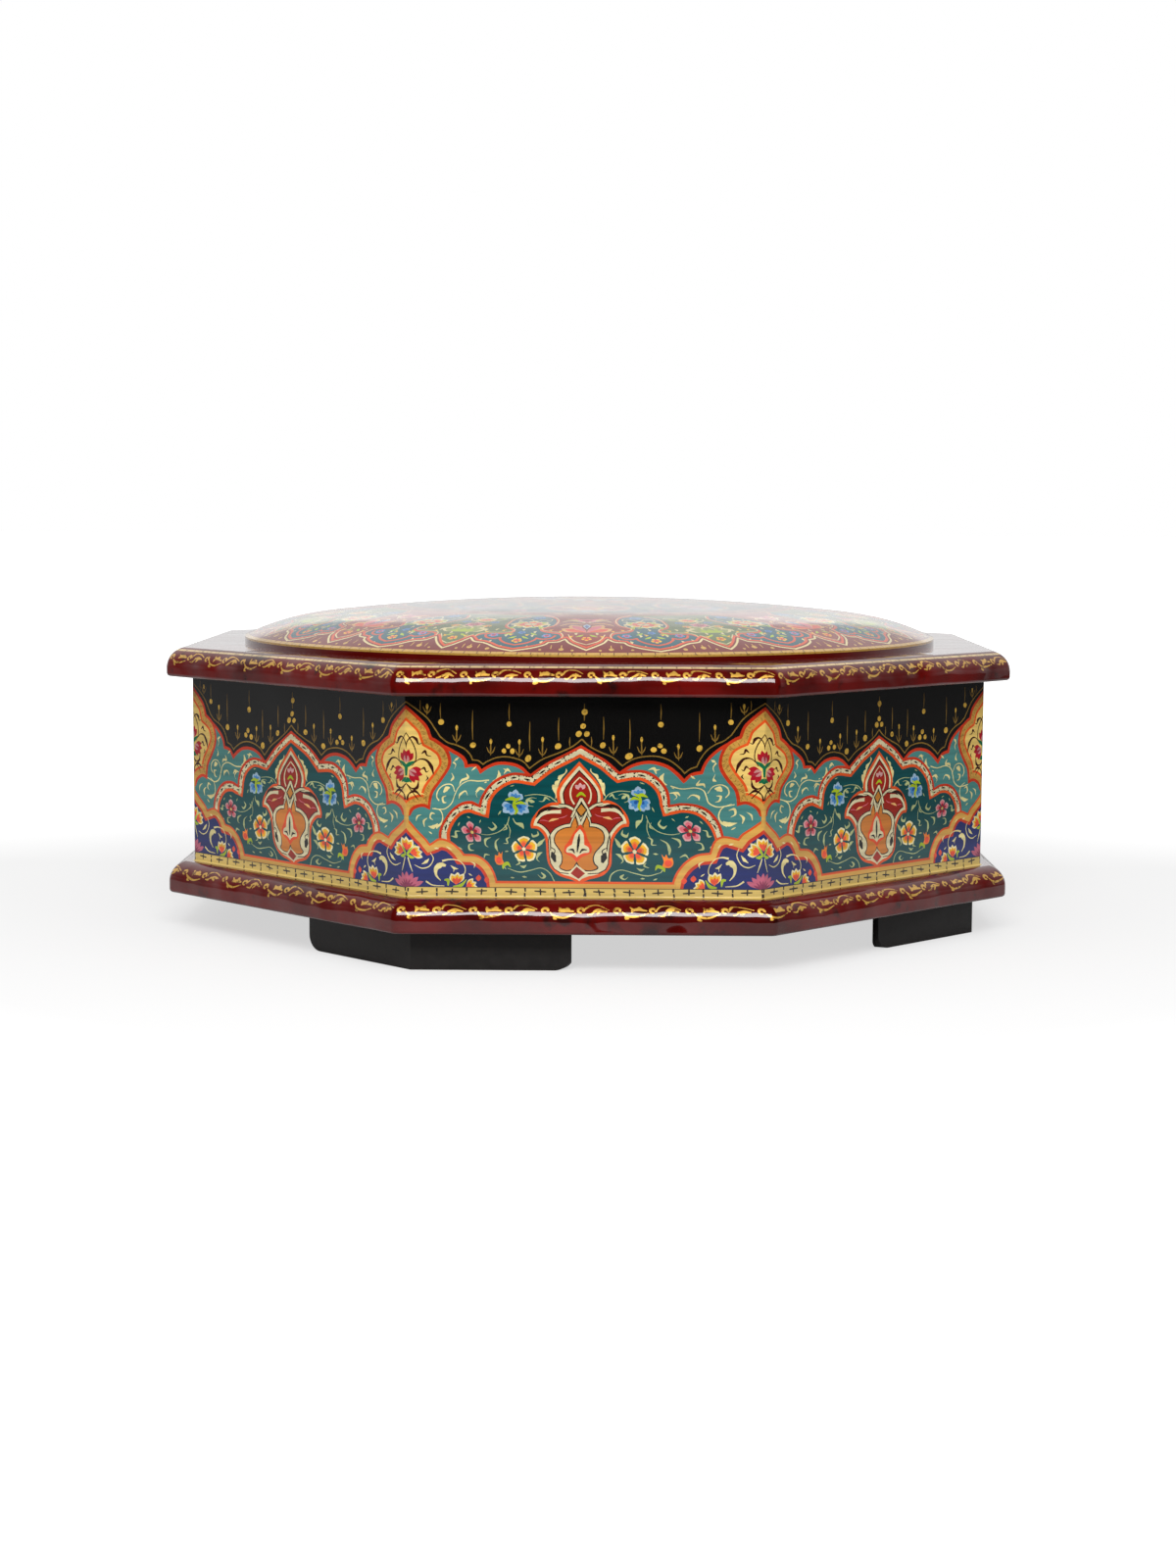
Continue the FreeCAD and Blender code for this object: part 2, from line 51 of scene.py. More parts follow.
# %% Sizes from the frame
SIDES = ("front", "front_right", "right", "back_right", "back", "back_left", "left", "front_left")
SLOPE = np.tan(np.radians(22.5))


def corners(node):
    """Lowest and highest corner of a node, in millimetres."""
    low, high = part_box(node)
    return np.array(low) / MM, np.array(high) / MM


wall_low, wall_high = corners("wall_front")
WALL_OUT = -wall_low[1]
WALL_THICK = wall_high[1] - wall_low[1]
WALL_BOTTOM, WALL_TOP = wall_low[2], wall_high[2]
WALL_HIGH = WALL_TOP - WALL_BOTTOM
EDGE = WALL_OUT * SLOPE
lid_low, lid_high = corners("lid_board")
base_low, base_high = corners("base_board")
BOARD_OUT = lid_high[1]
dome_low, dome_high = corners("lid_dome")
DOME_OUT = dome_high[0]
print(f"walls {2 * EDGE:.1f} x {WALL_HIGH:.1f} mm, boards {2 * BOARD_OUT:.1f} mm across")
print(f"dome {2 * DOME_OUT:.1f} mm across")

# %% [markdown]
# The photograph was taken from the front and a little above. A pinhole camera was fitted to the corners of
# the octagon, and its place, tilt and focal length are written here. The picture is 1600 pixels high on a
# sensor whose long side is 36 mm, so a focal length of 2650 pixels is a lens of about 60 mm.

# %% Camera
CAMERA_PLACE = (0.0074, -0.92455, 0.1462)
CAMERA_PAN, CAMERA_DOWN, CAMERA_ROLL = 0.473, 6.318, 0.258
FOCAL_PIXELS, PICTURE_HIGH, SENSOR = 2650, 1600, 36.0

camera = bpy.data.objects.new("camera", bpy.data.cameras.new("camera"))
camera.data.lens = FOCAL_PIXELS / PICTURE_HIGH * SENSOR
camera.data.sensor_width = SENSOR
camera.data.clip_start, camera.data.clip_end = 0.05, 50
turn = (Matrix.Rotation(np.radians(CAMERA_PAN), 4, "Z")
        @ Matrix.Rotation(np.radians(90 - CAMERA_DOWN), 4, "X")
        @ Matrix.Rotation(np.radians(CAMERA_ROLL), 4, "Z"))
camera.matrix_world = Matrix.Translation(CAMERA_PLACE) @ turn
bpy.context.scene.collection.objects.link(camera)
bpy.context.scene.camera = camera
print("lens", round(camera.data.lens, 1), "mm")

# %% [markdown]
# A material is a small tree of nodes. One function adds a node, sets its sockets, and links a socket where it
# is given another node. Colours are written as they look on a screen and turned to linear light.

# %% Colours and nodes
def linear(code):
    """A screen colour such as "#a01f12" as linear red, green, blue and 1: the sRGB curve undone."""
    value = np.array([int(code[i:i + 2], 16) for i in (1, 3, 5)]) / 255
    value = np.where(value <= 0.04045, value / 12.92, ((value + 0.055) / 1.055) ** 2.4)
    return (*value, 1.0)


def add(tree, kind, sockets=None, **settings):
    """Adds a node of that kind with its settings. A socket takes a value, another node's output, or the node
    itself, which stands for its first output."""
    node = tree.nodes.new("ShaderNode" + kind)
    for name, value in settings.items():
        setattr(node, name, value)
    for name, value in (sockets or {}).items():
        value = value.outputs[0] if isinstance(value, bpy.types.Node) else value
        if isinstance(value, bpy.types.NodeSocket):
            tree.links.new(value, node.inputs[name])
        else:
            node.inputs[name].default_value = value
    return node


def new_material(name):
    """An empty material and its tree, with the output node in place."""
    material = bpy.data.materials.new(name)
    material.use_nodes = True
    tree = material.node_tree
    tree.nodes.clear()
    tree.nodes.new("ShaderNodeOutputMaterial").name = "out"
    return material, tree


def last(tree, node):
    """Links the last node of a tree to its output."""
    tree.links.new(node.outputs[0], tree.nodes["out"].inputs["Surface"])


def varnish(tree, colour, roughness, metallic, bump, coat_bump, coat_rough):
    """Paint under a clear glossy varnish: the coat has an IOR of 1.5, as oil varnish does."""
    shader = add(tree, "BsdfPrincipled", {
        "Base Color": colour, "Roughness": roughness, "Metallic": metallic, "Normal": bump,
        "Coat Normal": coat_bump, "Coat Weight": 1.0, "Coat IOR": 1.5, "Coat Roughness": coat_rough,
        "Specular IOR Level": 0.03})
    last(tree, shader)

# %% [markdown]
# The walls are gouache on a black ground, rubbed smooth and varnished. The brush leaves fine level streaks,
# about one every millimetre, that show through every field. Each triangle of a painted face carries its own
# colour, and the fourth channel of that colour says how much of it is gold. Shell gold is a metal powder in
# gum, so it is only part metallic, and it wears through to the brown underneath in small specks.

# %% Painted lacquer
def painted_lacquer(name, streaks, streak_depth):
    """Varnished painting with its colour from the mesh; streaks are cycles per metre along x, y and z."""
    material, tree = new_material(name)
    place = add(tree, "TexCoord").outputs["Object"]
    paint = add(tree, "Attribute", attribute_name="paint", attribute_type="GEOMETRY")
    stretched = add(tree, "Mapping", {"Vector": place, "Scale": streaks})
    streak = add(tree, "TexNoise", {"Vector": stretched, "Scale": 1.0, "Detail": 4.0})
    tone = add(tree, "MapRange", {"Value": streak, "From Min": 0.3, "From Max": 0.7,
                                  "To Min": 1 - streak_depth, "To Max": 1 + streak_depth * 0.6})
    cloud = add(tree, "TexNoise", {"Vector": place, "Scale": 55.0, "Detail": 3.0})
    cloud_tone = add(tree, "MapRange", {"Value": cloud, "From Min": 0.3, "From Max": 0.7,
                                        "To Min": 0.93, "To Max": 1.05})
    both = add(tree, "Math", {0: tone, 1: cloud_tone}, operation="MULTIPLY")
    toned = add(tree, "VectorMath", {0: paint, "Scale": both}, operation="SCALE")
    speck = add(tree, "TexNoise", {"Vector": place, "Scale": 1300.0, "Detail": 2.0})
    worn = add(tree, "MapRange", {"Value": speck, "From Min": 0.56, "From Max": 0.68,
                                  "To Min": 0.0, "To Max": 0.55})
    worn_gold = add(tree, "Math", {0: worn, 1: paint.outputs["Alpha"]}, operation="MULTIPLY")
    colour = add(tree, "MixRGB", {"Fac": worn_gold, "Color1": toned,
                                  "Color2": linear("#4a3414")})
    metal = add(tree, "Math", {0: paint.outputs["Alpha"], 1: 0.35}, operation="MULTIPLY")
    bump = add(tree, "Bump", {"Height": streak, "Strength": 0.25, "Distance": 0.0002})
    wave = add(tree, "TexNoise", {"Vector": place, "Scale": 45.0, "Detail": 1.0})
    coat_bump = add(tree, "Bump", {"Height": wave, "Strength": 0.12, "Distance": 0.002})
    varnish(tree, colour, 0.5, metal, bump, coat_bump, 0.09)
    return material


wall_finish = painted_lacquer("gouache_and_gold_under_varnish", (14, 14, 700), 0.2)
print("wall finish has", len(wall_finish.node_tree.nodes), "nodes")

# %% [markdown]
# A painted face is made the way the painter works: one shape over another. Each shape is a closed outline in
# millimetres. All the outlines go into one constrained triangulation, so that every edge between two colours
# is a real edge of the mesh, and each triangle takes the colour of the last shape that covers it. That gives
# one flat layer with nothing stacked on it, and it stays sharp however close the camera comes.

# %% Lines, strokes and dots
def through(*runs, per=7):
    """Smooth line through given points, with a sharp cusp where one run ends and the next starts.
    Each run is a Catmull-Rom curve: a cubic whose slope at a point is half the chord of its neighbours."""
    pieces = []
    t = np.linspace(0, 1, per, endpoint=False)[:, None]
    for run in runs:
        p = np.array(run, float)
        p = np.vstack([2 * p[0] - p[1], p, 2 * p[-1] - p[-2]])
        for a, b, c, d in zip(p[:-3], p[1:-2], p[2:-1], p[3:]):
            pieces.append(0.5 * (2 * b + (c - a) * t + (2 * a - 5 * b + 4 * c - d) * t ** 2
                                 + (3 * b - a - 3 * c + d) * t ** 3))
    return np.vstack(pieces + [np.array(runs[-1][-1:], float)])


def mirrored(points):
    """The same points on the other side of the middle line."""
    return np.array(points, float) * (-1, 1)


def whole(half):
    """Closed outline from its right half, which runs from one end of the middle line to the other."""
    return np.vstack([half, mirrored(half)[::-1]])


def across(points):
    """Unit vector square to the line at each point, on its left, and longer at a bend to keep the width."""
    step = np.diff(points, axis=0)
    step = step / np.maximum(np.linalg.norm(step, axis=1, keepdims=True), 1e-9)
    before, after = np.vstack([step[:1], step]), np.vstack([step, step[-1:]])
    middle = before + after
    length = np.maximum(np.sum(middle * before, axis=1, keepdims=True), 0.7)
    return np.stack([-middle[:, 1], middle[:, 0]], 1) / length


def stroke(points, *widths, per=6):
    """One touch of the brush along a smooth line; the widths are spread evenly along it. The outline runs up
    one side at half the width from the line and back down the other."""
    line = through(points, per=per)
    widths = widths if len(widths) > 1 else widths * 2
    share = np.linspace(0, 1, len(line))
    half = np.interp(share, np.linspace(0, 1, len(widths)), widths)[:, None] / 2
    side = across(line) * half
    return np.vstack([line + side, (line - side)[::-1]])


def ribbon(line, width):
    """A line of even width along points that are already smooth."""
    side = across(line) * width / 2
    return np.vstack([line + side, (line - side)[::-1]])


def turned(outline):
    """The outline run counter-clockwise, which its signed area tells."""
    x, y = outline.T
    area = np.sum(x * np.roll(y, -1) - y * np.roll(x, -1))
    return outline if area > 0 else outline[::-1]


def inset(outline, distance):
    """A closed outline moved inward by that distance, square to itself at each point."""
    o = turned(outline)
    ring = np.vstack([o[-1:], o, o[:1]])
    ring = ring[np.r_[True, np.linalg.norm(np.diff(ring, axis=0), axis=1) > 1e-6]]
    return (ring + across(ring) * distance)[1:-1]


def dot(x, y, radius, points=14):
    """A round touch of the brush."""
    a = np.linspace(0, 2 * np.pi, points, endpoint=False)
    return np.stack([x + radius * np.cos(a), y + radius * np.sin(a)], 1)


def petal(x, y, angle, length, wide, blunt=0.62, points=9):
    """A petal from its foot at (x, y): its half width swells as a sine that peaks at the blunt share."""
    t = np.linspace(0, 1, points)
    swell = np.sin(np.pi * t ** (np.log(0.5) / np.log(blunt))) * wide / 2
    along = np.r_[t, t[-2:0:-1]] * length
    side = np.r_[swell, -swell[-2:0:-1]]
    c, s = np.cos(np.radians(angle)), np.sin(np.radians(angle))
    return np.stack([x + along * c - side * s, y + along * s + side * c], 1)

# %% [markdown]
# A flower with five petals is three flowers in one: a pale ragged edge, a strong colour inside it, and a dark
# touch at the foot of each petal. The same few lines serve for the pink, the orange and the blue ones.

# %% Flowers and buds
def flower(x, y, radius, layers, petals=5, start=90.0, foot=0.1, points=9):
    """Petals round a point; a layer is a paint, its shares of radius and width, and where it is widest."""
    made = []
    for paint, reach, width, blunt in layers:
        for k in range(petals):
            angle = start + 360 * k / petals
            a = np.radians(angle)
            base = (x + foot * radius * np.cos(a), y + foot * radius * np.sin(a))
            made.append((petal(*base, angle, radius * reach, radius * width, blunt, points), paint))
    return made


PINK = (("rose_edge", 1.0, 0.78, 0.66), ("rose", 0.84, 0.6, 0.62), ("carmine", 0.52, 0.38, 0.55))
ORANGE = (("shell", 1.0, 0.98, 0.74), ("yellow", 0.86, 0.74, 0.72), ("orange", 0.66, 0.5, 0.66),
          ("vermilion", 0.5, 0.36, 0.6))
BLUE = (("frost", 1.0, 0.98, 0.68), ("sky", 0.82, 0.74, 0.62), ("cobalt", 0.55, 0.42, 0.58))


def tulip(x, y, angle, size, paints):
    """A bud seen from the side: three petals that open from one foot, one inside the other."""
    made = []
    for paint, reach, width in zip(paints, (1.0, 0.84, 0.62), (0.5, 0.36, 0.26)):
        for lean in (-27, 27, 0):
            made.append((petal(x, y, angle + lean, size * reach, size * width, 0.6), paint))
    return made

# %% [markdown]
# The wall design is drawn once, for the right half, in millimetres from the middle of the wall and from its
# lower edge. It is a row of lobed cartouches, as on many old boxes of this kind: a teal field under a white
# arch with a palmette in it, turquoise behind the arch, a cream medallion that wraps round each corner with a
# blue one below it, and strings of gold dots on the black above.

# %% Paints
PAINTS = {
    "black": "#050403", "turquoise": "#4b8783", "teal": "#014a4d", "red_line": "#cf3716",
    "orange_line": "#e8571f", "white_band": "#e6dbb0", "dash": "#15110c", "gold_thin": "#8f6e2c",
    "gold_dot": "#e6b84a", "vine_light": "#efdf9a", "vine_dim": "#bac287", "cream": "#f0cc72",
    "gilt": "#d8a34c", "gilt_low": "#dda84e", "blue": "#0b1f66", "palmette": "#a02212", "umber": "#2a120c",
    "tan": "#d98230", "flame": "#ea4f22", "trefoil": "#e8ddb0", "rose": "#e06e7c", "rose_edge": "#dfa9a6",
    "carmine": "#9f1228", "beige": "#e2c36b", "tick": "#2c2010", "shell": "#f7ebb8", "yellow": "#f5b81a",
    "orange": "#f98a26", "vermilion": "#f0502c", "frost": "#9dbbd2", "sky": "#4b8bc8", "cobalt": "#255ba4",
    "leaf": "#aac01d", "bud": "#f7811f", "bud_red": "#f15031", "lotus": "#c8627c", "lotus_dark": "#8d3050",
    "tulip": "#b21626", "tulip_pale": "#c78a86", "tulip_mid": "#a02838", "green": "#147048",
    "maroon": "#3a120c", "rubbed": "#94672a", "almond": "#f7bd76", "almond_dark": "#cf8631",
    "inside": "#120d0b",
}
GOLD_SHARE = {"gold_thin": 0.6, "gold_dot": 1.0, "gilt": 0.7}
DESIGN = []


def lay(outline, paint, *, both=True, loose=False):
    """Adds a shape to the wall design, and its mirror image unless it lies across the middle. The painter's
    hand moves and turns a loose shape by itself."""
    DESIGN.append((outline, paint, loose))
    if both:
        DESIGN.append((mirrored(outline), paint, loose))


def lay_all(shapes):
    """Adds several shapes that were made together, each with its mirror image."""
    for outline, paint in shapes:
        lay(outline, paint)


def nested(outline, *layers, both=True):
    """Paints an outline, then itself again and again, each time inset by the width of the last line."""
    depth = 0.0
    for paint, wide in layers:
        lay(inset(outline, depth) if depth else outline, paint, both=both)
        depth += wide

# %% [markdown]
# The black is the bare ground, and the gold on it is laid in single touches: a thin stroke for each string
# and a dot for each drop, with barbed arrows between them.

# %% Black ground with gold drops
# a string is (distance from the middle, top, bottom), a drop is (distance, height, radius)
STRINGS = ((6.7, 56, 49), (3.2, 50, 47), (15, 55, 46), (23, 60, 55), (34.5, 57.7, 48.7), (44.3, 60.3, 55.5),
           (50.5, 61, 58))
DROPS = ((6.7, 47.2, 0.9), (15, 43.7, 1.0), (23, 53.9, 0.85), (22.9, 47.2, 0.75), (24.2, 45.6, 0.8),
         (21.4, 45.6, 0.85), (34.5, 46.8, 0.95), (44.3, 54.4, 0.9))
ARROWS = ((10.6, 50.3, 44.1), (18.4, 49.6, 44), (28.6, 48.4, 43.3), (39.3, 53.6, 48), (48.4, 60, 56.6))

contour = through([(0, 49.3), (2.4, 47.2), (6, 45.3), (10.5, 43.4), (14, 40.7)],
                  [(14, 40.7), (16.5, 42.7), (19.5, 43.6), (23, 43.8), (26.5, 42.9), (29.5, 41.1),
                   (30.9, 39.9)],
                  [(30.9, 39.9), (32.5, 41.2), (34.3, 41.7)],
                  [(34.3, 41.7), (35.2, 43.8), (37, 46), (39.5, 47.5), (42, 48.4), (44.4, 50.2)],
                  [(44.4, 50.2), (45.8, 52.2), (48, 55.2), (51, 57.7), (55, 60.4)])
lay(ribbon(contour, 0.42), "gold_thin")
for x, top, bottom in STRINGS:
    lay(stroke([(x, top), (x + 0.1, (top + bottom) / 2), (x, bottom)], 0.12, 0.4, 0.15), "gold_thin",
        loose="upright")
for x, y, radius in DROPS:
    lay(dot(x, y, radius), "gold_dot", loose=True)
for x, top, bottom in ARROWS:
    barbs = [stroke([(x, top), (x, top - 1.7)], 0.3, 0.85, 0.75, 0.3),
             stroke([(x, top - 1.6), (x + 0.1, bottom)], 0.35, 0.45, 0.2)]
    barbs += [stroke([(x + side * 1.3, bottom + 2.6), (x + side * 0.7, bottom + 1.2), (x, bottom + 0.5)],
                     0.15, 0.42, 0.3) for side in (-1, 1)]
    for k, barb in enumerate(barbs):
        lay(barb, "gold_thin" if k else "gold_dot", loose=("upright", (x, bottom)))
lay(stroke([(0, 60), (0, 54.8)], 0.15, 0.45, 0.2), "gold_thin", both=False, loose="upright")
for x, y, radius in ((0, 57.4, 0.9), (-0.1, 53.1, 0.85), (-1.25, 50.9, 0.92), (1.2, 50.9, 0.88)):
    lay(dot(x, y, radius), "gold_dot", both=False, loose=True)
print("black ground:", len(DESIGN), "shapes")

# %% [markdown]
# The turquoise field lies between the black and the arch. Its lobed border is a smooth line through points
# that were read from the photograph, and pale vines with small leaves curl over it.

# %% Turquoise field
border = through([(13.7, 38.4), (17, 40.8), (21, 41.8), (25.5, 41.2), (28.6, 39.6), (31.2, 37.5)],
                 [(31.2, 37.5), (32.6, 39.2), (34.2, 39.8), (36.1, 39.9)],
                 [(36.1, 39.9), (36.7, 42), (38.2, 44), (41.3, 46.2), (45, 48.2)])
field = np.vstack([border, [(58, 48), (58, 8), (0, 8), (0, 38)]])
lay(field, "turquoise")
lay(ribbon(border, 1.0), "red_line")


def fine(widths):
    """The same touch with a thinner brush: lines lose a quarter of their width and full heads keep theirs."""
    return [wide * np.clip(0.58 + 0.32 * wide, 0.6, 1) for wide in widths]


TURQUOISE_VINES = (
    (((27, 35.5), (30.5, 35), (34.5, 35.4), (37.3, 34.2), (38.6, 31.8), (39.6, 29.4), (42, 27.9), (44.5, 28),
      (47, 28.5)), (0.5, 0.4, 0.45, 0.5, 0.4)),
    (((38.5, 33), (40, 35.1), (42.4, 35.2), (44.2, 33.8), (44.6, 31.8), (43.6, 30.5)), (0.3, 0.45, 0.5, 0.5)),
    (((45.5, 28.6), (43.3, 27.6), (42.5, 25.4), (43.2, 23.4), (45, 22.4)), (0.3, 0.45, 0.5, 1.2)),
    (((40.6, 34.2), (41.7, 33.9), (42.6, 32.9)), (0.4, 1.7, 0.6)),
    (((25.3, 39), (24.9, 37.4), (25.6, 36), (27, 35.5)), (0.2, 1.3, 1.1, 0.4)),
    (((44, 23.6), (45.6, 22.5), (47.6, 22.7)), (0.3, 1.4, 0.2)),
    (((21, 39.3), (22.4, 39.9), (23.4, 38.4)), (0.15, 1.0, 0.3)),
    (((22.4, 39.6), (23.8, 39.8)), (0.8, 0.1)),
    (((32.8, 39.2), (34.3, 38.2)), (0.2, 0.7, 0.15)),
    (((38.6, 43.3), (39.9, 42.3)), (0.2, 0.9, 0.2)),
    (((39.9, 42.2), (39.2, 41), (39.8, 39.6)), (0.7, 0.4, 0.1)),
    (((28.5, 33.1), (30.4, 33.4), (31.5, 32.4)), (0.3, 0.9, 0.2)),
    (((29.9, 33.2), (31, 31.9), (30.4, 30.8)), (0.7, 0.3, 0.1)),
    (((35.8, 37.6), (35.2, 36.2), (37, 35.9), (37.6, 34.7)), (0.15, 0.9, 0.8, 0.1)),
    (((40.4, 38.9), (39.8, 37.4), (40.6, 36.4)), (0.15, 0.4, 0.95, 0.2)),
    (((33.9, 31.4), (35, 32.6), (36.7, 31.8), (37, 30.6)), (0.15, 0.5, 0.9, 0.2)),
    (((41.4, 31.9), (42.6, 31.5), (42.3, 30.1), (41.2, 29.8)), (0.2, 0.8, 0.7, 0.15)),
    (((45, 26.6), (46.3, 27), (46.8, 25.6), (45.8, 24.7)), (0.2, 0.8, 0.6, 0.15)),
    (((48, 25.5), (49.2, 24.4), (48.9, 22.6)), (0.2, 0.9, 0.2)),
    (((49.8, 26.4), (51.2, 25.6), (51.6, 24)), (0.15, 0.7, 0.15)),
    (((46.2, 20.6), (47.4, 21.4)), (0.2, 0.6, 0.15)),
    (((28.4, 35), (29.2, 34.7)), (0.2, 0.5, 0.1)),
    (((27, 32), (27.8, 30.9)), (0.2, 0.6, 0.1)),
)
for points, widths in TURQUOISE_VINES:
    lay(stroke(points, *fine(widths)), "vine_light", loose=True)
print("with turquoise field:", len(DESIGN), "shapes")

# %% [markdown]
# The arch is one outline, painted four times. Each time it is set in by the width of the line before, so the
# red, white and orange lines stay even round every lobe, and the last layer is the teal field. Dark dashes
# follow the white line.

# %% White arch and teal field
arch = through([(0, 47.5), (4.5, 44.9), (9, 42.4), (13.6, 38.8)],
               [(13.6, 38.8), (17, 39.3), (20.5, 39.1), (24.3, 37.3), (27.4, 34.5), (29.1, 31.4),
                (29.6, 29.2)],
               [(29.6, 29.2), (32.5, 29.9), (36.3, 29.3), (39.6, 27.3), (42.3, 24), (43.7, 21), (44.2, 18)])
arch_outline = whole(np.vstack([arch, [(44.2, -8), (0, -8)]]))
nested(arch_outline, ("red_line", 0.85), ("white_band", 1.5), ("orange_line", 0.95), ("teal", 0), both=False)
middle = inset(arch_outline, 1.6)
right = middle[(middle[:, 0] > 0.3) & (middle[:, 1] > 19.5)]
run = np.r_[0, np.cumsum(np.linalg.norm(np.diff(right, axis=0), axis=1))]
for start in np.arange(1.2, run[-1] - 4, 5.1):
    marks = start + np.array([0, 1.1, 2.1, 3.2, 3.3])
    *dash, a, b = np.stack([np.interp(marks, run, right[:, i]) for i in (0, 1)], 1)
    lay(stroke(dash, 0.2, 0.62, 0.25), "dash", loose=True)
    along = (b - a) / np.linalg.norm(b - a)
    square = np.array([-along[1], along[0]])
    for side in (-1, 1):
        lay(stroke([a + square * side * 0.72, a + square * side * 0.2], 0.55, 0.3), "dash")
draw = np.random.default_rng(3)
for line in (inset(arch_outline, 0.95), inset(arch_outline, 2.25)):
    line = line[(line[:, 0] > 0.3) & (line[:, 1] > 19.5)]
    for k in range(1, len(line) - 1):
        if draw.random() < 0.6:
            a, b = line[k], line[k] + (line[k + 1] - line[k]) * draw.uniform(0.5, 0.9)
            lay(stroke([a, b], 0.1, draw.uniform(0.2, 0.42), 0.1, per=3), "umber", loose=True)
print("with arch:", len(DESIGN), "shapes")

# %% [markdown]
# A vine is a stroke whose width changes along it, and a leaf is a short stroke that swells more. Each row
# below holds the points of one stroke and its widths.

# %% Vines and leaves on teal
TEAL_VINES = (
    (((7.4, 30.2), (9.5, 32), (13, 32.6), (16.6, 32.1)), (0.5, 0.35, 0.25)),
    (((21.2, 25.2), (22.2, 22.6), (24.6, 20.5), (28, 19.6), (30.8, 19.9)), (0.3, 0.4, 0.3, 0.2)),
    (((21.8, 23.6), (21.3, 21), (21.9, 18.6)), (0.25, 0.35, 0.15)),
    (((8.6, 5), (9.8, 7.6), (12.4, 8.9), (16, 8), (19.6, 7.3), (23.4, 8.3)), (0.5, 0.35, 0.3, 0.45, 0.2)),
    (((12.8, 31.4), (14.4, 31.6), (15.9, 30.7), (15.8, 29.2), (14.3, 28.8)), (0.15, 0.3, 0.9, 0.4, 0.15)),
    (((13.7, 30.3), (15.4, 30.9)), (0.5, 1.2, 0.5)),
    (((18.6, 33.2), (19.3, 32.6), (18.9, 31.4)), (0.2, 0.9, 0.2)),
    (((9.3, 30.8), (10.4, 31.6), (11.3, 30.5), (12.6, 30.4)), (0.15, 0.8, 0.4, 0.12)),
    (((27.2, 27.6), (28.4, 27.9), (29, 26.7), (28.1, 25.9)), (0.15, 0.35, 0.95, 0.2)),
    (((20.4, 25.2), (19.8, 23.6), (18.4, 22.9), (17.7, 21.5)), (0.3, 0.5, 1.4, 0.2)),
    (((22.9, 22.9), (22.3, 21.6), (23.4, 20.9)), (0.15, 0.65, 0.15)),
    (((26.2, 23.8), (25.3, 22.3), (26.5, 21.3), (27.7, 22.1)), (0.15, 0.8, 0.9, 0.12)),
    (((27.6, 18.8), (29.5, 18), (29.8, 16.4), (29, 15.7)), (0.15, 0.95, 0.5, 0.12)),
    (((37.2, 20.9), (38.6, 20.7), (38.8, 19.2), (40.2, 19.3)), (0.15, 0.6, 1.0, 0.12)),
    (((34.2, 17), (35.8, 16.6), (36, 15.2), (34.6, 14.8)), (0.2, 0.5, 0.8, 0.15)),
    (((24.7, 18.3), (26.3, 17.2), (26.7, 15.4), (26.4, 13.9)), (0.12, 0.6, 1.0, 0.3)),
    (((29.2, 12.9), (30.8, 13.4), (31.6, 12.2)), (0.15, 0.8, 0.15)),
    (((13.6, 20.8), (13.3, 19.6), (14.7, 19), (15.4, 20)), (0.12, 0.8, 0.9, 0.12)),
    (((10.8, 18.4), (12, 17), (12.9, 16.2), (14.4, 16.9)), (0.2, 1.2, 0.9, 0.1)),
    (((11.2, 13.9), (12.4, 13.4), (13.3, 12), (12.6, 11)), (0.12, 1.1, 0.5, 0.12)),
    (((12.6, 7.6), (11.6, 6.6), (12.6, 5.9), (13.8, 6.8)), (0.3, 1.0, 0.4, 0.12)),
    (((16.9, 9.9), (18.1, 9.2), (19.3, 9.6)), (0.15, 1.0, 0.12)),
    (((19.9, 11.6), (19.2, 10.6), (20.5, 9.9)), (0.12, 0.7, 0.2)),
    (((21.4, 18.9), (22.6, 18.2), (22.4, 16.9), (23.8, 16.8)), (0.12, 0.7, 0.5, 0.12)),
    (((17.4, 6.2), (18.8, 6.3)), (0.15, 0.7, 0.15)), (((21.4, 5.9), (22.7, 6.3)), (0.12, 0.6, 0.1)),
    (((33, 24.9), (34.1, 25.4)), (0.12, 0.6, 0.12)), (((29.6, 24.6), (30.3, 23.6)), (0.1, 0.5, 0.1)),
    (((22.3, 14.1), (23.7, 13.9)), (0.1, 0.7, 0.1)), (((23.6, 27.6), (24.4, 26.3)), (0.12, 0.6, 0.12)),
    (((24.6, 9.3), (23.8, 8.4)), (0.1, 0.5, 0.1)), (((39.2, 16.2), (38, 15.4)), (0.1, 0.5, 0.1)),
    (((36.9, 23.8), (37.7, 22.7)), (0.12, 0.55, 0.12)), (((19.2, 35.3), (20.6, 34.9)), (0.12, 0.5, 0.12)),
)
for points, widths in TEAL_VINES:
    lay(stroke(points, *fine(widths)), "vine_dim", loose=True)
serrated = through([(3.7, 40.4), (4.1, 39), (5.9, 38.3)], [(5.9, 38.3), (6.2, 37.4), (5.9, 37)],
                   [(5.9, 37), (7, 36.6), (7.3, 35.6)], [(7.3, 35.6), (7.9, 35.6), (8.1, 34.4), (7.6, 32.6),
                                                       (7.9, 31.3)],
                   [(7.9, 31.3), (6.9, 32.4), (6.6, 34.4), (6, 36), (5, 37.6), (3.9, 38.8)],
                   [(3.9, 38.8), (3.4, 39.6), (3.7, 40.4)], per=4)
lay(serrated, "vine_light", loose=True)
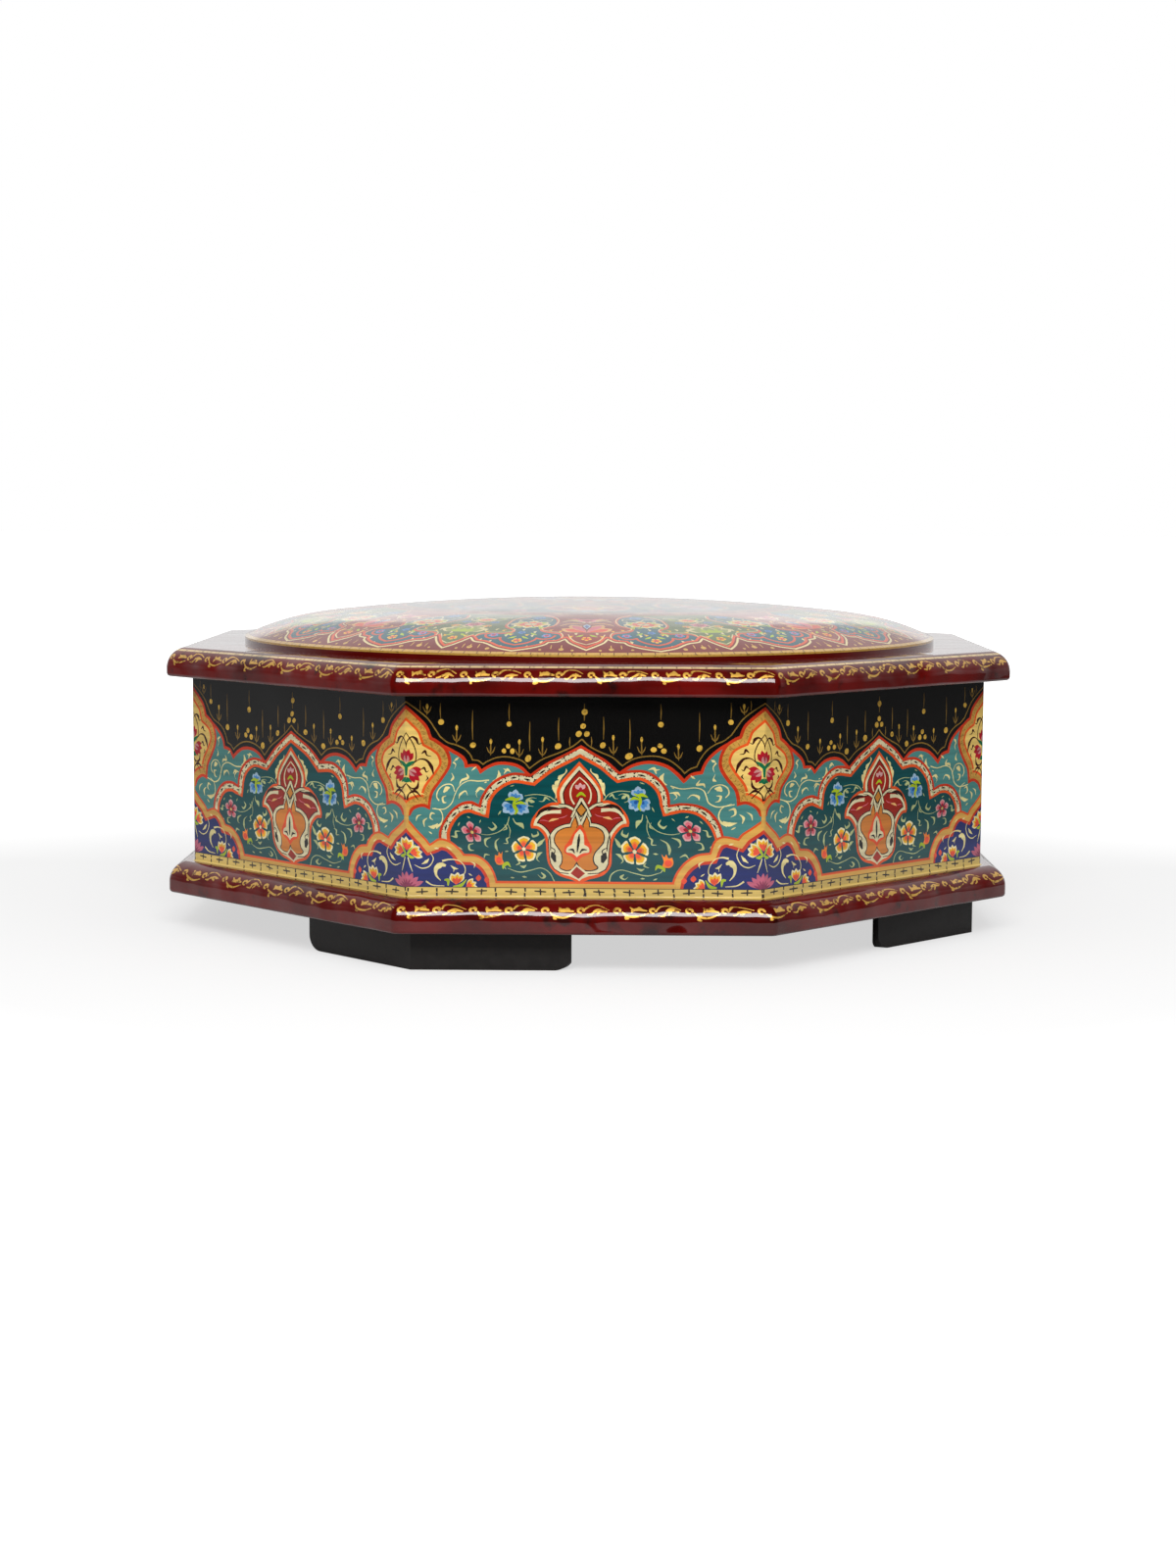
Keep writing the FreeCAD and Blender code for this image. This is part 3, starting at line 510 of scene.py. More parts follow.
for angle, reach in ((97, 4.0), (-38, 4.0), (217, 4.0)):
    a = np.radians(angle)
    foot = (19.4 + 0.5 * np.cos(a), 29.6 + 0.5 * np.sin(a))
    for lean, share in ((-34, 0.86), (34, 0.86), (0, 1.0)):
        lay(petal(*foot, angle + lean, reach * share, 2.1, 0.7), "frost")
    for lean in (-27, 27, 0):
        lay(petal(*foot, angle + lean, reach * 0.72, 1.3, 0.64), "sky")
    lay(petal(*foot, angle, reach * 0.42, 1.2, 0.6), "cobalt")
for points, widths in ((((17.7, 31.6), (19, 30.9), (20.4, 31.2), (22.2, 30.6)), (0.3, 1.0, 1.2, 0.3)),
                       (((19.5, 30.8), (19.8, 29), (19.2, 27.4), (19.9, 26.2)), (0.6, 1.1, 1.0, 0.3)),
                       (((19.4, 29.6), (17.8, 30), (16.3, 29.5)), (0.5, 1.0, 0.3))):
    lay(stroke(points, *widths), "leaf")
lay_all(flower(33.5, 20.5, 3.2, PINK))
lay(dot(33.5, 20.5, 0.5), "beige")
lay_all(flower(17, 14.8, 3.9, ORANGE, start=85))
lay(dot(17, 14.8, 0.6), "shell")
lay(through([(24.6, 14.1), (25, 11.8), (24.5, 10.2), (26.6, 9.9), (27.6, 11.2), (27.4, 13)],
            [(27.4, 13), (26.4, 12.8), (25.9, 14)], [(25.9, 14), (25.3, 13.2), (24.6, 14.1)], per=4), "bud")
lay(dot(26.2, 11.3, 1.05), "bud_red")
lay(stroke([(22.3, 9.1), (23.2, 10.3), (24.7, 9.6), (24.9, 8.6)], 0.2, 1.1, 1.0, 0.3), "leaf")
print("with teal vines:", len(DESIGN), "shapes")

# %% [markdown]
# The palmette is a flower seen from the side, with orange, white and dark lines round it. It is painted from
# its outline inwards.

# %% Palmette in the middle
palmette = through([(0, 42.4), (2.2, 39.9), (5.2, 36.5), (6.8, 33.9), (7.15, 31.7), (7, 30.2)],
                   [(7, 30.2), (9.4, 30), (12.4, 28.2), (14.7, 25.5), (15.6, 23.2), (15.4, 21.7)],
                   [(15.4, 21.7), (13.5, 21.5), (11.8, 20.1), (10.8, 18.5), (10.2, 16), (10, 13), (9.7, 10.7),
                    (8.8, 8.9), (7.1, 7.2), (5, 6.3), (3.3, 5.9)],
                   [(3.3, 5.9), (1.8, 5.3), (0, 4.5)])
nested(whole(palmette), ("orange_line", 0.9), ("white_band", 0.85), ("umber", 0.35), ("palmette", 0),
       both=False)
shoulder = through([(0.15, 31.1), (1.9, 28), (2.9, 25.4), (3.5, 23.4)],
                   [(3.5, 23.4), (5.6, 23), (8, 21.8), (9.4, 19.8), (9.8, 17.6)], per=6)
vase = whole(np.vstack([shoulder, [(9.3, 13), (9, 10.6), (8, 8.8), (6, 7.6), (3.4, 7.4), (0, 7.4)]]))
lay(vase, "umber", both=False)
lay(inset(vase, 0.3), "white_band", both=False)
body = through([(0.6, 22.2), (2.7, 21.9), (5, 21.6), (6.8, 20.6), (7.6, 19), (7.4, 17.2), (6.3, 15.7),
                (5.1, 14.1), (4.6, 12.3), (4.9, 10.6), (5.7, 9.5), (4.6, 8.8), (3, 8.6), (1.4, 9.1),
                (0.5, 10.4), (0, 11.3)])
lay(inset(body, -0.35), "umber")
lay(body, "tan")
lay(stroke(((1.9, 25.6), (1.3, 22.3), (3, 22.2)), 0.2, 1.4, 0.3), "tan")
lay(np.array([(1.85, 25.7), (0.75, 22.6), (0.9, 21.8), (3.1, 22), (2.9, 23.4)]), "umber")
lay(np.array([(1.85, 25.1), (1.0, 22.6), (1.2, 21.6), (2.8, 21.6), (2.6, 23.4)]), "tan")
lay(stroke([(0.1, 22.9), (1, 25), (1.9, 27.2)], 1.25, 1.15), "umber")
lay(stroke([(0.1, 22.8), (1, 25), (1.9, 27)], 0.8, 0.75, 0.6), "white_band")
lay(stroke([(6.9, 29.4), (4.6, 29), (2.6, 27.8), (1.7, 26.9)], 1.0, 1.2, 1.0), "umber")
lay(stroke([(6.9, 29.3), (4.6, 28.9), (2.6, 27.7), (1.7, 26.8)], 0.5, 0.75, 0.5), "white_band")
lay(stroke([(0, 31), (1, 29.2), (2.1, 27.2), (3, 25.2)], 1.2, 1.1), "umber")
lay(stroke([(0, 31), (1, 29.2), (2.1, 27.2), (3, 25.2)], 0.75, 0.7), "white_band")
lay(whole(np.array([(0, 30), (1.9, 27.4), (0, 24.9)])), "dash", both=False)
lay(whole(np.array([(0, 29.2), (1.4, 27.4), (0, 25.6)])), "almond_dark", both=False)
lay(stroke([(9.3, 19.2), (8.9, 17), (8.7, 14.6)], 0.25, 0.4, 0.3), "umber")
lay(stroke([(8.6, 15.6), (7.3, 14.6), (7.9, 12.6), (7.4, 11)], 0.3, 0.35, 0.3), "umber")
lay(stroke([(8.3, 14.2), (7.8, 12.8), (7.2, 11)], 0.4, 1.9, 0.7), "dash")
flame = through([(0, 22.9), (1.8, 20.5), (2.6, 18.6), (3.5, 17), (4.2, 15.9), (4.2, 14.2), (3, 13.3),
                 (1.6, 12.7), (0, 11.1)], per=4)
lay(whole(flame), "flame", both=False)
trefoil = through([(0, 21.4), (1.2, 19.9), (1.7, 18), (1.9, 16.5)],
                  [(1.9, 16.5), (3.3, 15.6), (3.5, 14.2), (2, 13.9), (0.9, 13.4), (0, 12.6)], per=4)
lay(whole(trefoil), "trefoil", both=False)
lay(stroke([(0, 19.8), (0.05, 17), (0, 14.2)], 0.3, 0.9, 0.75, 0.35), "dash", both=False)
lay(stroke([(0.8, 13.8), (1.5, 14.9), (2.9, 14.9)], 0.25, 0.75, 0.2), "umber")
lay(whole(np.array([(0, 10.3), (3.1, 7.7), (0, 5.2)])), "white_band", both=False)
lay(whole(np.array([(0, 9.7), (2.25, 7.6), (0, 5.9)])), "palmette", both=False)
lay(stroke([(0, 37.4), (2.2, 35.2), (3.1, 33), (3, 31), (2.2, 29.3)], 0.3, 0.5, 0.5), "white_band")
for angle in (48, 90, 132):
    lay(petal(0, 33.4, angle, 2.3, 1.2), "rose_edge", both=False)
lay(petal(0, 32.7, 90, 1.7, 1.1), "carmine", both=False)
lay(stroke([(-1.4, 31.6), (0, 32.5), (1.4, 31.6)], 0.4, 0.95, 0.4), "leaf", both=False)
lay(stroke([(13.9, 25.2), (12.2, 27.4), (9.6, 28.4), (7, 28.3)], 0.3, 1.0, 1.1, 0.5), "umber")
lay(stroke([(13.5, 24.5), (12, 26.2), (9.6, 27.1), (6.3, 27.2)], 0.25, 0.7, 0.95, 1.2), "white_band")
lay(stroke([(10.1, 24), (8.8, 24.6), (7, 24.9)], 0.15, 0.85, 0.2), "almond")
lay(stroke([(7.4, 25), (5.4, 25.4), (4.3, 26)], 0.1, 0.3, 0.1), "rose")
lay(stroke([(10, 24), (11.4, 24.4), (12.9, 24.3)], 0.1, 0.25, 0.1), "rose")
print("with palmette:", len(DESIGN), "shapes")

# %% [markdown]
# A medallion is painted across each corner. It is drawn about the edge of the wall, so that the halves on
# two walls meet, and its gold line is rubbed in small marks.

# %% Cream medallion on the corner
tall = through([(0, 59.4), (3.6, 56.4), (6.7, 53.3), (8.1, 50)],
               [(8.1, 50), (9.9, 49.1), (12.5, 47.1), (14.1, 43.7), (13.9, 40.4), (11.6, 36.6), (9.1, 33.3),
                (8.3, 30.6), (8, 28)],
               [(8, 28), (5.4, 28.7), (2.7, 27.6), (1.3, 25.4)]) * (-1, 1) + (EDGE, 0)
tall = np.vstack([tall, [(EDGE + 4, 25), (EDGE + 4, 62)]])
nested(tall, ("red_line", 1.0), ("gilt", 1.95), ("orange_line", 0.8), ("cream", 0))
hem = inset(tall, 1.95)
hem = hem[(hem[:, 0] < EDGE - 0.5) & (hem[:, 1] > 30)]
draw = np.random.default_rng(5)
for k in range(1, len(hem) - 2):
    if draw.random() < 0.62:
        along = hem[k + 1] - hem[k]
        square = np.array([-along[1], along[0]]) / np.linalg.norm(along)
        centre = hem[k] + square * draw.uniform(-0.6, 0.6)
        reach = draw.uniform(0.25, 0.6)
        lay(stroke([centre - square * reach + along * 0.2, centre + square * reach], 0.1,
                   draw.uniform(0.16, 0.34), 0.1), "rubbed", loose=True)
CORNER_LINES = (
    (((-0.1, 51), (1.9, 48.2), (3.1, 45.4), (3.1, 42.8), (1.9, 40.9)), (0.25, 0.4, 0.35, 0.35, 0.25)),
    (((2.8, 42), (4.4, 43.1), (6.5, 42.9), (8.1, 41), (8.8, 38.6)), (0.25, 0.35, 0.7, 1.15, 0.25)),
    (((-0.1, 46), (0.4, 48.2), (1.8, 49.7), (3.2, 49.1), (3.9, 47.7), (5, 48.1)),
     (0.3, 0.35, 0.45, 1.0, 0.35, 0.15)),
    (((4.9, 44.8), (6, 45.6), (6.6, 44.5), (8, 44.2)), (0.15, 0.9, 0.4, 0.15)),
    (((4.9, 40), (5.8, 40.5), (6.5, 39.3), (7.3, 39.8)), (0.15, 0.75, 0.35, 0.12)),
    (((0.1, 35.2), (1.9, 33.9), (3.6, 34.4), (4.1, 36.7)), (0.25, 0.4, 0.95, 0.15)),
    (((-0.1, 35.4), (1.9, 33), (4, 30.6)), (0.25, 0.35, 0.25)),
    (((0.3, 30.2), (0.9, 32.1), (2.9, 33.2), (5, 31.7)), (0.8, 0.35, 0.9, 0.15)),
    (((6.3, 36.6), (7, 37.4), (6.6, 38.2)), (0.12, 0.55, 0.12)),
)


def at_corner(points):
    """Turns distances from the corner into distances from the middle of the wall."""
    return [(EDGE - x, y) for x, y in points]


for points, widths in CORNER_LINES:
    lay(stroke(at_corner(points), *widths), "maroon")
for points, widths, paint in (
        (((0, 40.4), (1.2, 41.4), (2.7, 42.3)), (1.0, 1.3, 0.3), "green"),
        (((0, 36.4), (1.1, 36.3), (1.7, 35.7)), (1.9, 1.2, 0.3), "green"),
        (((0, 37.6), (0, 41)), (0.8, 1.4), "green")):
    lay(stroke(at_corner(points), *widths), paint)
for x, y, angle, size in ((0, 41.6, 90, 4.4), (0.9, 39.4, 207, 4.6)):
    for lean, share in ((-36, 0.9), (36, 0.9), (-13, 1.0), (13, 1.0)):
        lay(petal(EDGE - x, y, angle + lean, size * share, size * 0.42, 0.58), "tulip")
    for lean in (-16, 16):
        lay(petal(EDGE - x, y, angle + lean, size * 0.55, size * 0.34, 0.5), "tulip_pale")
    lay(petal(EDGE - x, y, angle, size * 0.8, size * 0.2, 0.66), "tulip_mid")
print("with cream medallion:", len(DESIGN), "shapes")

# %% [markdown]
# The blue medallion stands round the same corner, below the cream one.

# %% Blue medallion below it
low = through([(0, 24.9), (3.4, 21.8), (6.2, 19.5), (7.5, 17.9)],
              [(7.5, 17.9), (11, 18.9), (14.1, 17.9), (16.3, 15.6), (17.2, 14)],
              [(17.2, 14), (21.1, 13.5), (24.4, 11.4), (26.6, 8.6), (27.8, 5.8), (28.1, 4.3)])
low = low * (-1, 1) + (EDGE, 0)
low = np.vstack([low, [(26, 4.2), (-1, 4.2), (-1, -3), (EDGE + 4, -3), (EDGE + 4, 25)]])
nested(low, ("orange_line", 0.65), ("gilt_low", 1.9), ("red_line", 0.95), ("blue", 0))
lay(stroke([(EDGE, 28.2), (EDGE, 22)], 2.4, 1.6, 1.9), "gilt_low")
lay(np.array([(-1, 5), (28.2, 5), (28.2, 2.8), (-1, 2.8)]), "gilt_low")
lay(np.array([(-1, 5.1), (27.6, 5.1), (27.6, 4.35), (-1, 4.35)]), "orange_line")
BLUE_VINES = (
    (((7.4, 15), (8.2, 12.8), (7, 10.3), (4.8, 9.4), (2.5, 10.3)), (0.3, 0.4, 0.45, 0.5, 0.2)),
    (((6.9, 12.9), (6, 11.7), (4.7, 10.8)), (0.2, 1.1, 0.2)),
    (((0.5, 12.4), (1.2, 10), (1.9, 8)), (0.4, 0.5, 0.2)),
    (((10.8, 12), (13, 12.4), (15.5, 11.9), (17.2, 10), (17.5, 8), (16.4, 6.3)), (0.8, 0.4, 0.4, 0.35)),
    (((11.8, 10.4), (10.4, 10.7), (9, 9.4), (9.1, 7.2), (10.5, 5.4)), (0.8, 1.9, 0.9, 0.3)),
    (((13.2, 10.4), (14.3, 9.4), (15.4, 9.2)), (0.2, 0.9, 0.2)),
    (((6, 5.2), (8.2, 3.9), (11.7, 3.6)), (0.7, 0.5, 0.3)),
    (((14.3, 9.6), (14.1, 8.2)), (0.5, 0.15)), (((18.6, 7.6), (19.8, 6.8)), (0.12, 0.6, 0.12)),
    (((19, 11.4), (20.4, 10.6), (20.2, 9.3)), (0.12, 0.7, 0.12)),
    (((8.8, 16.4), (10.2, 16)), (0.2, 0.8, 0.2)),
    (((12.6, 16.4), (14, 15.2)), (0.15, 0.6, 0.15)),
)
for points, widths in BLUE_VINES:
    lay(stroke(at_corner(points), *fine(widths)), "vine_light")
for points in (((0.3, 13.5), (1.5, 15.4), (2.8, 17)), ((0.2, 13.4), (1.4, 12.7), (2.4, 12.6)),
               ((11.6, 5.6), (12.7, 5.4), (12.9, 3.6)), ((14.4, 3.3), (16.6, 3.7), (18.2, 5.6))):
    lay(stroke(at_corner(points), 0.5, 1.1, 0.3), "leaf")
FIRE = ("shell", "yellow", "vermilion")
for x, y, angle, size in ((0, 14.6, 90, 4.3), (1.1, 14, 165, 4.0), (15.2, 3.9, 92, 4.2), (18.2, 3, 150, 3.6)):
    lay_all(tulip(EDGE - x, y, angle, size, FIRE))
for angle, size in ((90, 5.4), (111, 5.4), (133, 5.3), (154, 5.8)):
    lay(petal(EDGE, 2.6, angle, size, 1.45, 0.68), "lotus")
    lay(petal(EDGE, 2.6, angle, size * 0.6, 0.6, 0.6), "lotus_dark")
for x, y in ((24.6, 5.3), (21.9, 5.9)):
    lay(petal(EDGE - x, y - 0.9, 90, 2.1, 1.7, 0.5), "bud_red")
print("with blue medallion:", len(DESIGN), "shapes")

# %% [markdown]
# A beige band with ink ticks closes the design at the foot. The ticks repeat every 9.1 mm.

# %% Ticked band along the foot of the wall
lay(np.array([(-1, 2.95), (EDGE + 4, 2.95), (EDGE + 4, -3), (-1, -3)]), "beige")
lay(np.array([(-1, 3.05), (EDGE + 4, 3.05), (EDGE + 4, 2.85), (-1, 2.85)]), "tick")
for k in range(7):
    x = 9.1 * k
    lay(stroke([(x, 2.95), (x + 0.1, 1.75)], 0.6, 0.5), "tick", loose=True)
    lay(stroke([(x + 0.15, 1.45), (x + 0.2, 0.3)], 0.5, 0.6), "tick", loose=True)
    lay(stroke([(x + 2.7, 1.75), (x + 6.4, 1.7)], 0.4, 0.55, 0.4), "tick", loose=True)
    lay(stroke([(x + 4.6, 2.75), (x + 4.65, 0.8)], 0.45, 0.55, 0.45), "tick", loose=True)
print("wall design:", len(DESIGN), "shapes")

# %% [markdown]
# No two walls are quite alike, because each was painted by eye. The painter's hand is a smooth warp: a thin
# plate spline that carries a few points of the drawing to where they were painted and bends everything
# between them. Small touches of the brush are also shifted and turned a little by a seeded draw.

# %% The painter's hand
# points of the drawing that stay where they are: the wall's edges and the line over the ticked band
PINNED = [(x, y) for y in (0.0, 3.0, WALL_HIGH) for x in np.linspace(-EDGE, EDGE, 9)]
PINNED += [(side * EDGE, y) for side in (-1, 1) for y in (12, 24, 36, 48)]
# each row is a point of the drawing and where it was painted on the right and on the left of that wall
HANDS = {
    "front": (((0, 47.5), (-1.3, 47.3), None), ((0, 22.8), (-1.4, 22.8), None), ((0, 54), (-0.4, 54), None),
              ((0, 5), (-1.6, 5), None), ((0, 35), (-1.5, 35), None),
              ((13.7, 38.5), (10.7, 38.8), (-17, 37.9)), ((29.5, 29), (26.0, 28.9), (-32.6, 28.7)),
              ((21, 41.8), (20, 42.1), (-22.5, 41.3)), ((31.2, 37.5), (30.3, 36.3), (-32, 39)),
              ((36.1, 39.9), (35.7, 39), (-36.5, 40.6)), ((33.5, 20.5), (32.4, 20.9), (-34.7, 20.2)),
              ((17, 14.8), (15.3, 14.4), (-18.8, 15.1)), ((19.4, 29.7), (16.6, 30.7), (-21.4, 29.2)),
              ((6.9, 30.2), (5.4, 30.2), (-8.2, 29.6)), ((15.4, 22.4), (13.4, 23), (-16.5, 22.2)),
              ((37.7, 14), (38.3, 14.3), (-37, 13.5)), ((47.5, 17.9), (47, 18.7), (-47.7, 16.6)),
              ((44, 19.5), (42.5, 20), (-45, 19)), ((26.2, 12), (25.6, 11.6), (-26.5, 12.3)),
              ((41, 43.5), (41.2, 43.8), (-41.3, 43)), ((47, 28.3), (46.6, 29), (-47.6, 27.4)))}
# how far the middle of a wall's drawing is shifted and sunk, and how unsteady the hand was
LEAN = {"front_left": (-1.7, -1.0, 1.6), "front_right": (-0.4, -0.6, 1.2)}


def warp_for(name, draw):
    """Thin plate spline: a plane plus weights times r squared log r round each pinned point, solved so that
    each point of the drawing lands where it was painted."""
    source, target = list(PINNED), list(PINNED)
    if name in HANDS:
        for point, right_side, left_side in HANDS[name]:
            source.append(point)
            target.append(right_side)
            if left_side:
                source.append((-point[0], point[1]))
                target.append(left_side)
    else:
        shift, sink, spread = LEAN.get(name, (draw.normal(0, 0.8), draw.normal(0, 0.4), 1.0))
        for x, y in ((0, 47.5), (0, 22), (0, 35), (0, 8), (13.7, 38.5), (29.5, 29), (31.2, 37.5),
                     (19.4, 29.7), (33.5, 20.5), (17, 14.8), (37.7, 14), (47, 28.3), (41, 43.5)):
            for side in ((1, -1) if x else (1,)):
                fade = 1 - (x / EDGE) ** 2
                source.append((side * x, y))
                target.append((side * x + shift * fade + draw.normal(0, 0.45) * spread,
                               y + sink * fade * y / 47 + draw.normal(0, 0.4) * spread))
    source, target = np.array(source), np.array(target)

    def kernel(p):
        """r squared times log r from each point to each pinned one."""
        squared = ((p[:, None] - source[None]) ** 2).sum(2)
        return squared * np.log(squared + 1e-9) * 0.5

    n = len(source)
    plane = np.hstack([np.ones((n, 1)), source])
    system = np.block([[kernel(source) + np.eye(n) * 0.5, plane], [plane.T, np.zeros((3, 3))]])
    weights = np.linalg.solve(system, np.vstack([target, np.zeros((3, 2))]))

    def warp(points):
        """Where points of the drawing land on this wall."""
        return kernel(points) @ weights[:n] + np.hstack([np.ones((len(points), 1)), points]) @ weights[n:]

    return warp


def by_hand(shapes, warp, draw):
    """The shapes as that wall has them: loose ones are shifted and turned a little, and all are warped. Drops
    on a string hang straight down, so an upright shape keeps its form and is carried by its lower end, or by
    the point that is named with it."""
    made = []
    for outline, paint, loose in shapes:
        if loose not in (True, False):
            foot = outline[[outline[:, 1].argmin()]]
            if loose != "upright":
                foot = np.array([loose[1]], float) * (np.sign(outline[:, 0].mean()), 1)
            made.append((outline + warp(foot) - foot, paint))
            continue
        if loose:
            centre = outline.mean(0)
            a = draw.normal(0, 0.07)
            spin = np.array([[np.cos(a), np.sin(a)], [-np.sin(a), np.cos(a)]])
            outline = (outline - centre) @ spin * (1 + draw.normal(0, 0.04)) + centre
            outline = outline + draw.normal(0, 0.1, 2)
        made.append((warp(outline), paint))
    return made

# %% [markdown]
# The triangulation joins every outline and a few guide lines. A triangle is inside a shape when the outline
# winds round its middle, which is counted where the outline crosses a level ray from that middle.

# %% From shapes to triangles
def winds_round(outline, points):
    """True where the outline, run counter-clockwise, winds round the point."""
    a, b = outline, np.roll(outline, -1, 0)
    y = points[:, 1][:, None]
    side = (b[:, 0] - a[:, 0]) * (y - a[:, 1]) - (points[:, 0][:, None] - a[:, 0]) * (b[:, 1] - a[:, 1])
    up = (a[:, 1] <= y) & (b[:, 1] > y) & (side > 0)
    down = (a[:, 1] > y) & (b[:, 1] <= y) & (side < 0)
    return up.sum(1) > down.sum(1)


def patches(triangles, drawn, count):
    """Number of the patch that each triangle belongs to. Two triangles share a patch when the edge between
    them wasn't drawn; the lowest number spreads over each patch, and steps ahead by following itself."""
    sides = np.sort(triangles[:, [0, 1, 1, 2, 2, 0]].reshape(-1, 2), 1)
    key = sides[:, 0] * count + sides[:, 1]
    order = np.argsort(key, kind="stable")
    same = np.flatnonzero(key[order][1:] == key[order][:-1])
    open_side = same[~np.isin(key[order][same], drawn)]
    one, other = order[open_side] // 3, order[open_side + 1] // 3
    label = np.arange(len(triangles))
    while True:
        lowest = np.minimum(label[one], label[other])
        if (lowest == label[one]).all() and (lowest == label[other]).all():
            return label
        np.minimum.at(label, one, lowest)
        np.minimum.at(label, other, lowest)
        label = label[label]


def triangulate(shapes, frame_outline, guides=()):
    """Points and triangles of the framed area, with the number of the last shape on each triangle, or -1."""
    loops = [frame_outline] + [outline for outline, paint in shapes]
    points = np.vstack(loops + [np.array(g, float) for g in guides])
    edges, start = [], 0
    for loop in loops:
        n = len(loop)
        k = np.arange(n)
        edges.append(np.stack([start + k, start + (k + 1) % n], 1))
        start += n
    for guide in guides:
        k = np.arange(len(guide) - 1)
        edges.append(np.stack([start + k, start + k + 1], 1))
        start += len(guide)
    edges = np.vstack(edges)
    made = delaunay_2d_cdt([Vector(p) for p in points], edges.tolist(), [], 0, 1e-4, True)
    points, triangles = np.array([tuple(v) for v in made[0]]), np.array(made[2], int)
    drawn = np.sort(np.array(made[1], int)[[len(lines) > 0 for lines in made[4]]], 1)
    centre = points[triangles].mean(1)
    kept = winds_round(turned(np.array(frame_outline, float)), centre)
    triangles, centre = triangles[kept], centre[kept]
    patch = patches(triangles, drawn[:, 0] * len(points) + drawn[:, 1], len(points))
    a, b, c = points[triangles].transpose(1, 0, 2)
    size = np.abs((b - a)[:, 0] * (c - a)[:, 1] - (b - a)[:, 1] * (c - a)[:, 0])
    order = np.lexsort((-size, patch))
    speaker = order[np.r_[True, np.diff(patch[order]) > 0]]
    spoken = centre[speaker]
    owner = np.full(len(speaker), -1)
    for number, (outline, paint) in enumerate(shapes):
        outline = turned(outline)
        low_corner, high_corner = outline.min(0), outline.max(0)
        near = np.flatnonzero(((spoken > low_corner) & (spoken < high_corner)).all(1))
        if len(near):
            owner[near[winds_round(outline, spoken[near])]] = number
    owner = owner[np.searchsorted(patch[speaker], patch)]
    used, index = np.unique(triangles, return_inverse=True)
    return points[used], index.reshape(-1, 3), owner


def paint_of(shapes, owner, ground, draw):
    """Linear colour and share of gold of each triangle; each shape is a little lighter or darker."""
    table = np.array([[*linear(PAINTS[paint])[:3], GOLD_SHARE.get(paint, 0.0)] for outline, paint in shapes]
                     + [[*linear(PAINTS[ground])[:3], 0.0]])
    table[:-1, :3] *= draw.uniform(0.92, 1.06, (len(shapes), 1))
    return table[owner]


def colour_mesh(mesh, colours, triangle_count, other):
    """Stores the colours on the corners of the triangles, and one colour on all the other faces."""
    sizes = np.zeros(len(mesh.polygons), int)
    mesh.polygons.foreach_get("loop_total", sizes)
    every = np.vstack([colours, np.tile(other, (len(sizes) - triangle_count, 1))])
    layer = mesh.color_attributes.new("paint", "FLOAT_COLOR", "CORNER")
    layer.data.foreach_set("color", np.repeat(every, sizes, 0).astype(np.float32).ravel())


def show(name, mesh, material, body, node):
    """Links a finished mesh, gives it its material and lets it ride on its body in place of the node."""
    piece = bpy.data.objects.new(name, mesh)
    bpy.context.scene.collection.objects.link(piece)
    mesh.materials.append(material)
    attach(piece, body)
    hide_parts(node)
    return piece


def shade_and_map(mesh, painted_normals, uv):
    """Smooth normals on the corners of the painted triangles, each plain face's own normal on the rest, and
    a UV map to bake into, where no two faces lie on each other."""
    plain = list(mesh.polygons)[len(painted_normals) // 3:]
    normals = [painted_normals] + [np.tile(np.array(face.normal), (face.loop_total, 1)) for face in plain]
    mesh.polygons.foreach_set("use_smooth", [True] * len(mesh.polygons))
    mesh.normals_split_custom_set(np.vstack(normals).tolist())
    islands = mesh.uv_layers.new(name="OFBake")
    islands.data.foreach_set("uv", np.vstack(uv).astype(np.float32).ravel())

# %% [markdown]
# A wall is a board with mitred ends. Sharp edges would look new, so the painted face is bent round the
# sanded ones by an arc: at distance d past its start the face lies back by r less the root of r squared less
# d squared. Five plain faces close the board behind.

# %% Eight painted walls
# radius of the rounded upright edges and of the rounding at the foot of a wall, in millimetres
SOFT_EDGE, BEAD = 1.6, 0.7


def wall_point(u, v, depth, turn_angle):
    """A point of a wall: u along it, v up it, depth in from its face, turned about the middle of the box."""
    y = -WALL_OUT + depth
    c, s = np.cos(turn_angle), np.sin(turn_angle)
    return np.stack([u * c - y * s, u * s + y * c, WALL_BOTTOM + v], -1) * MM


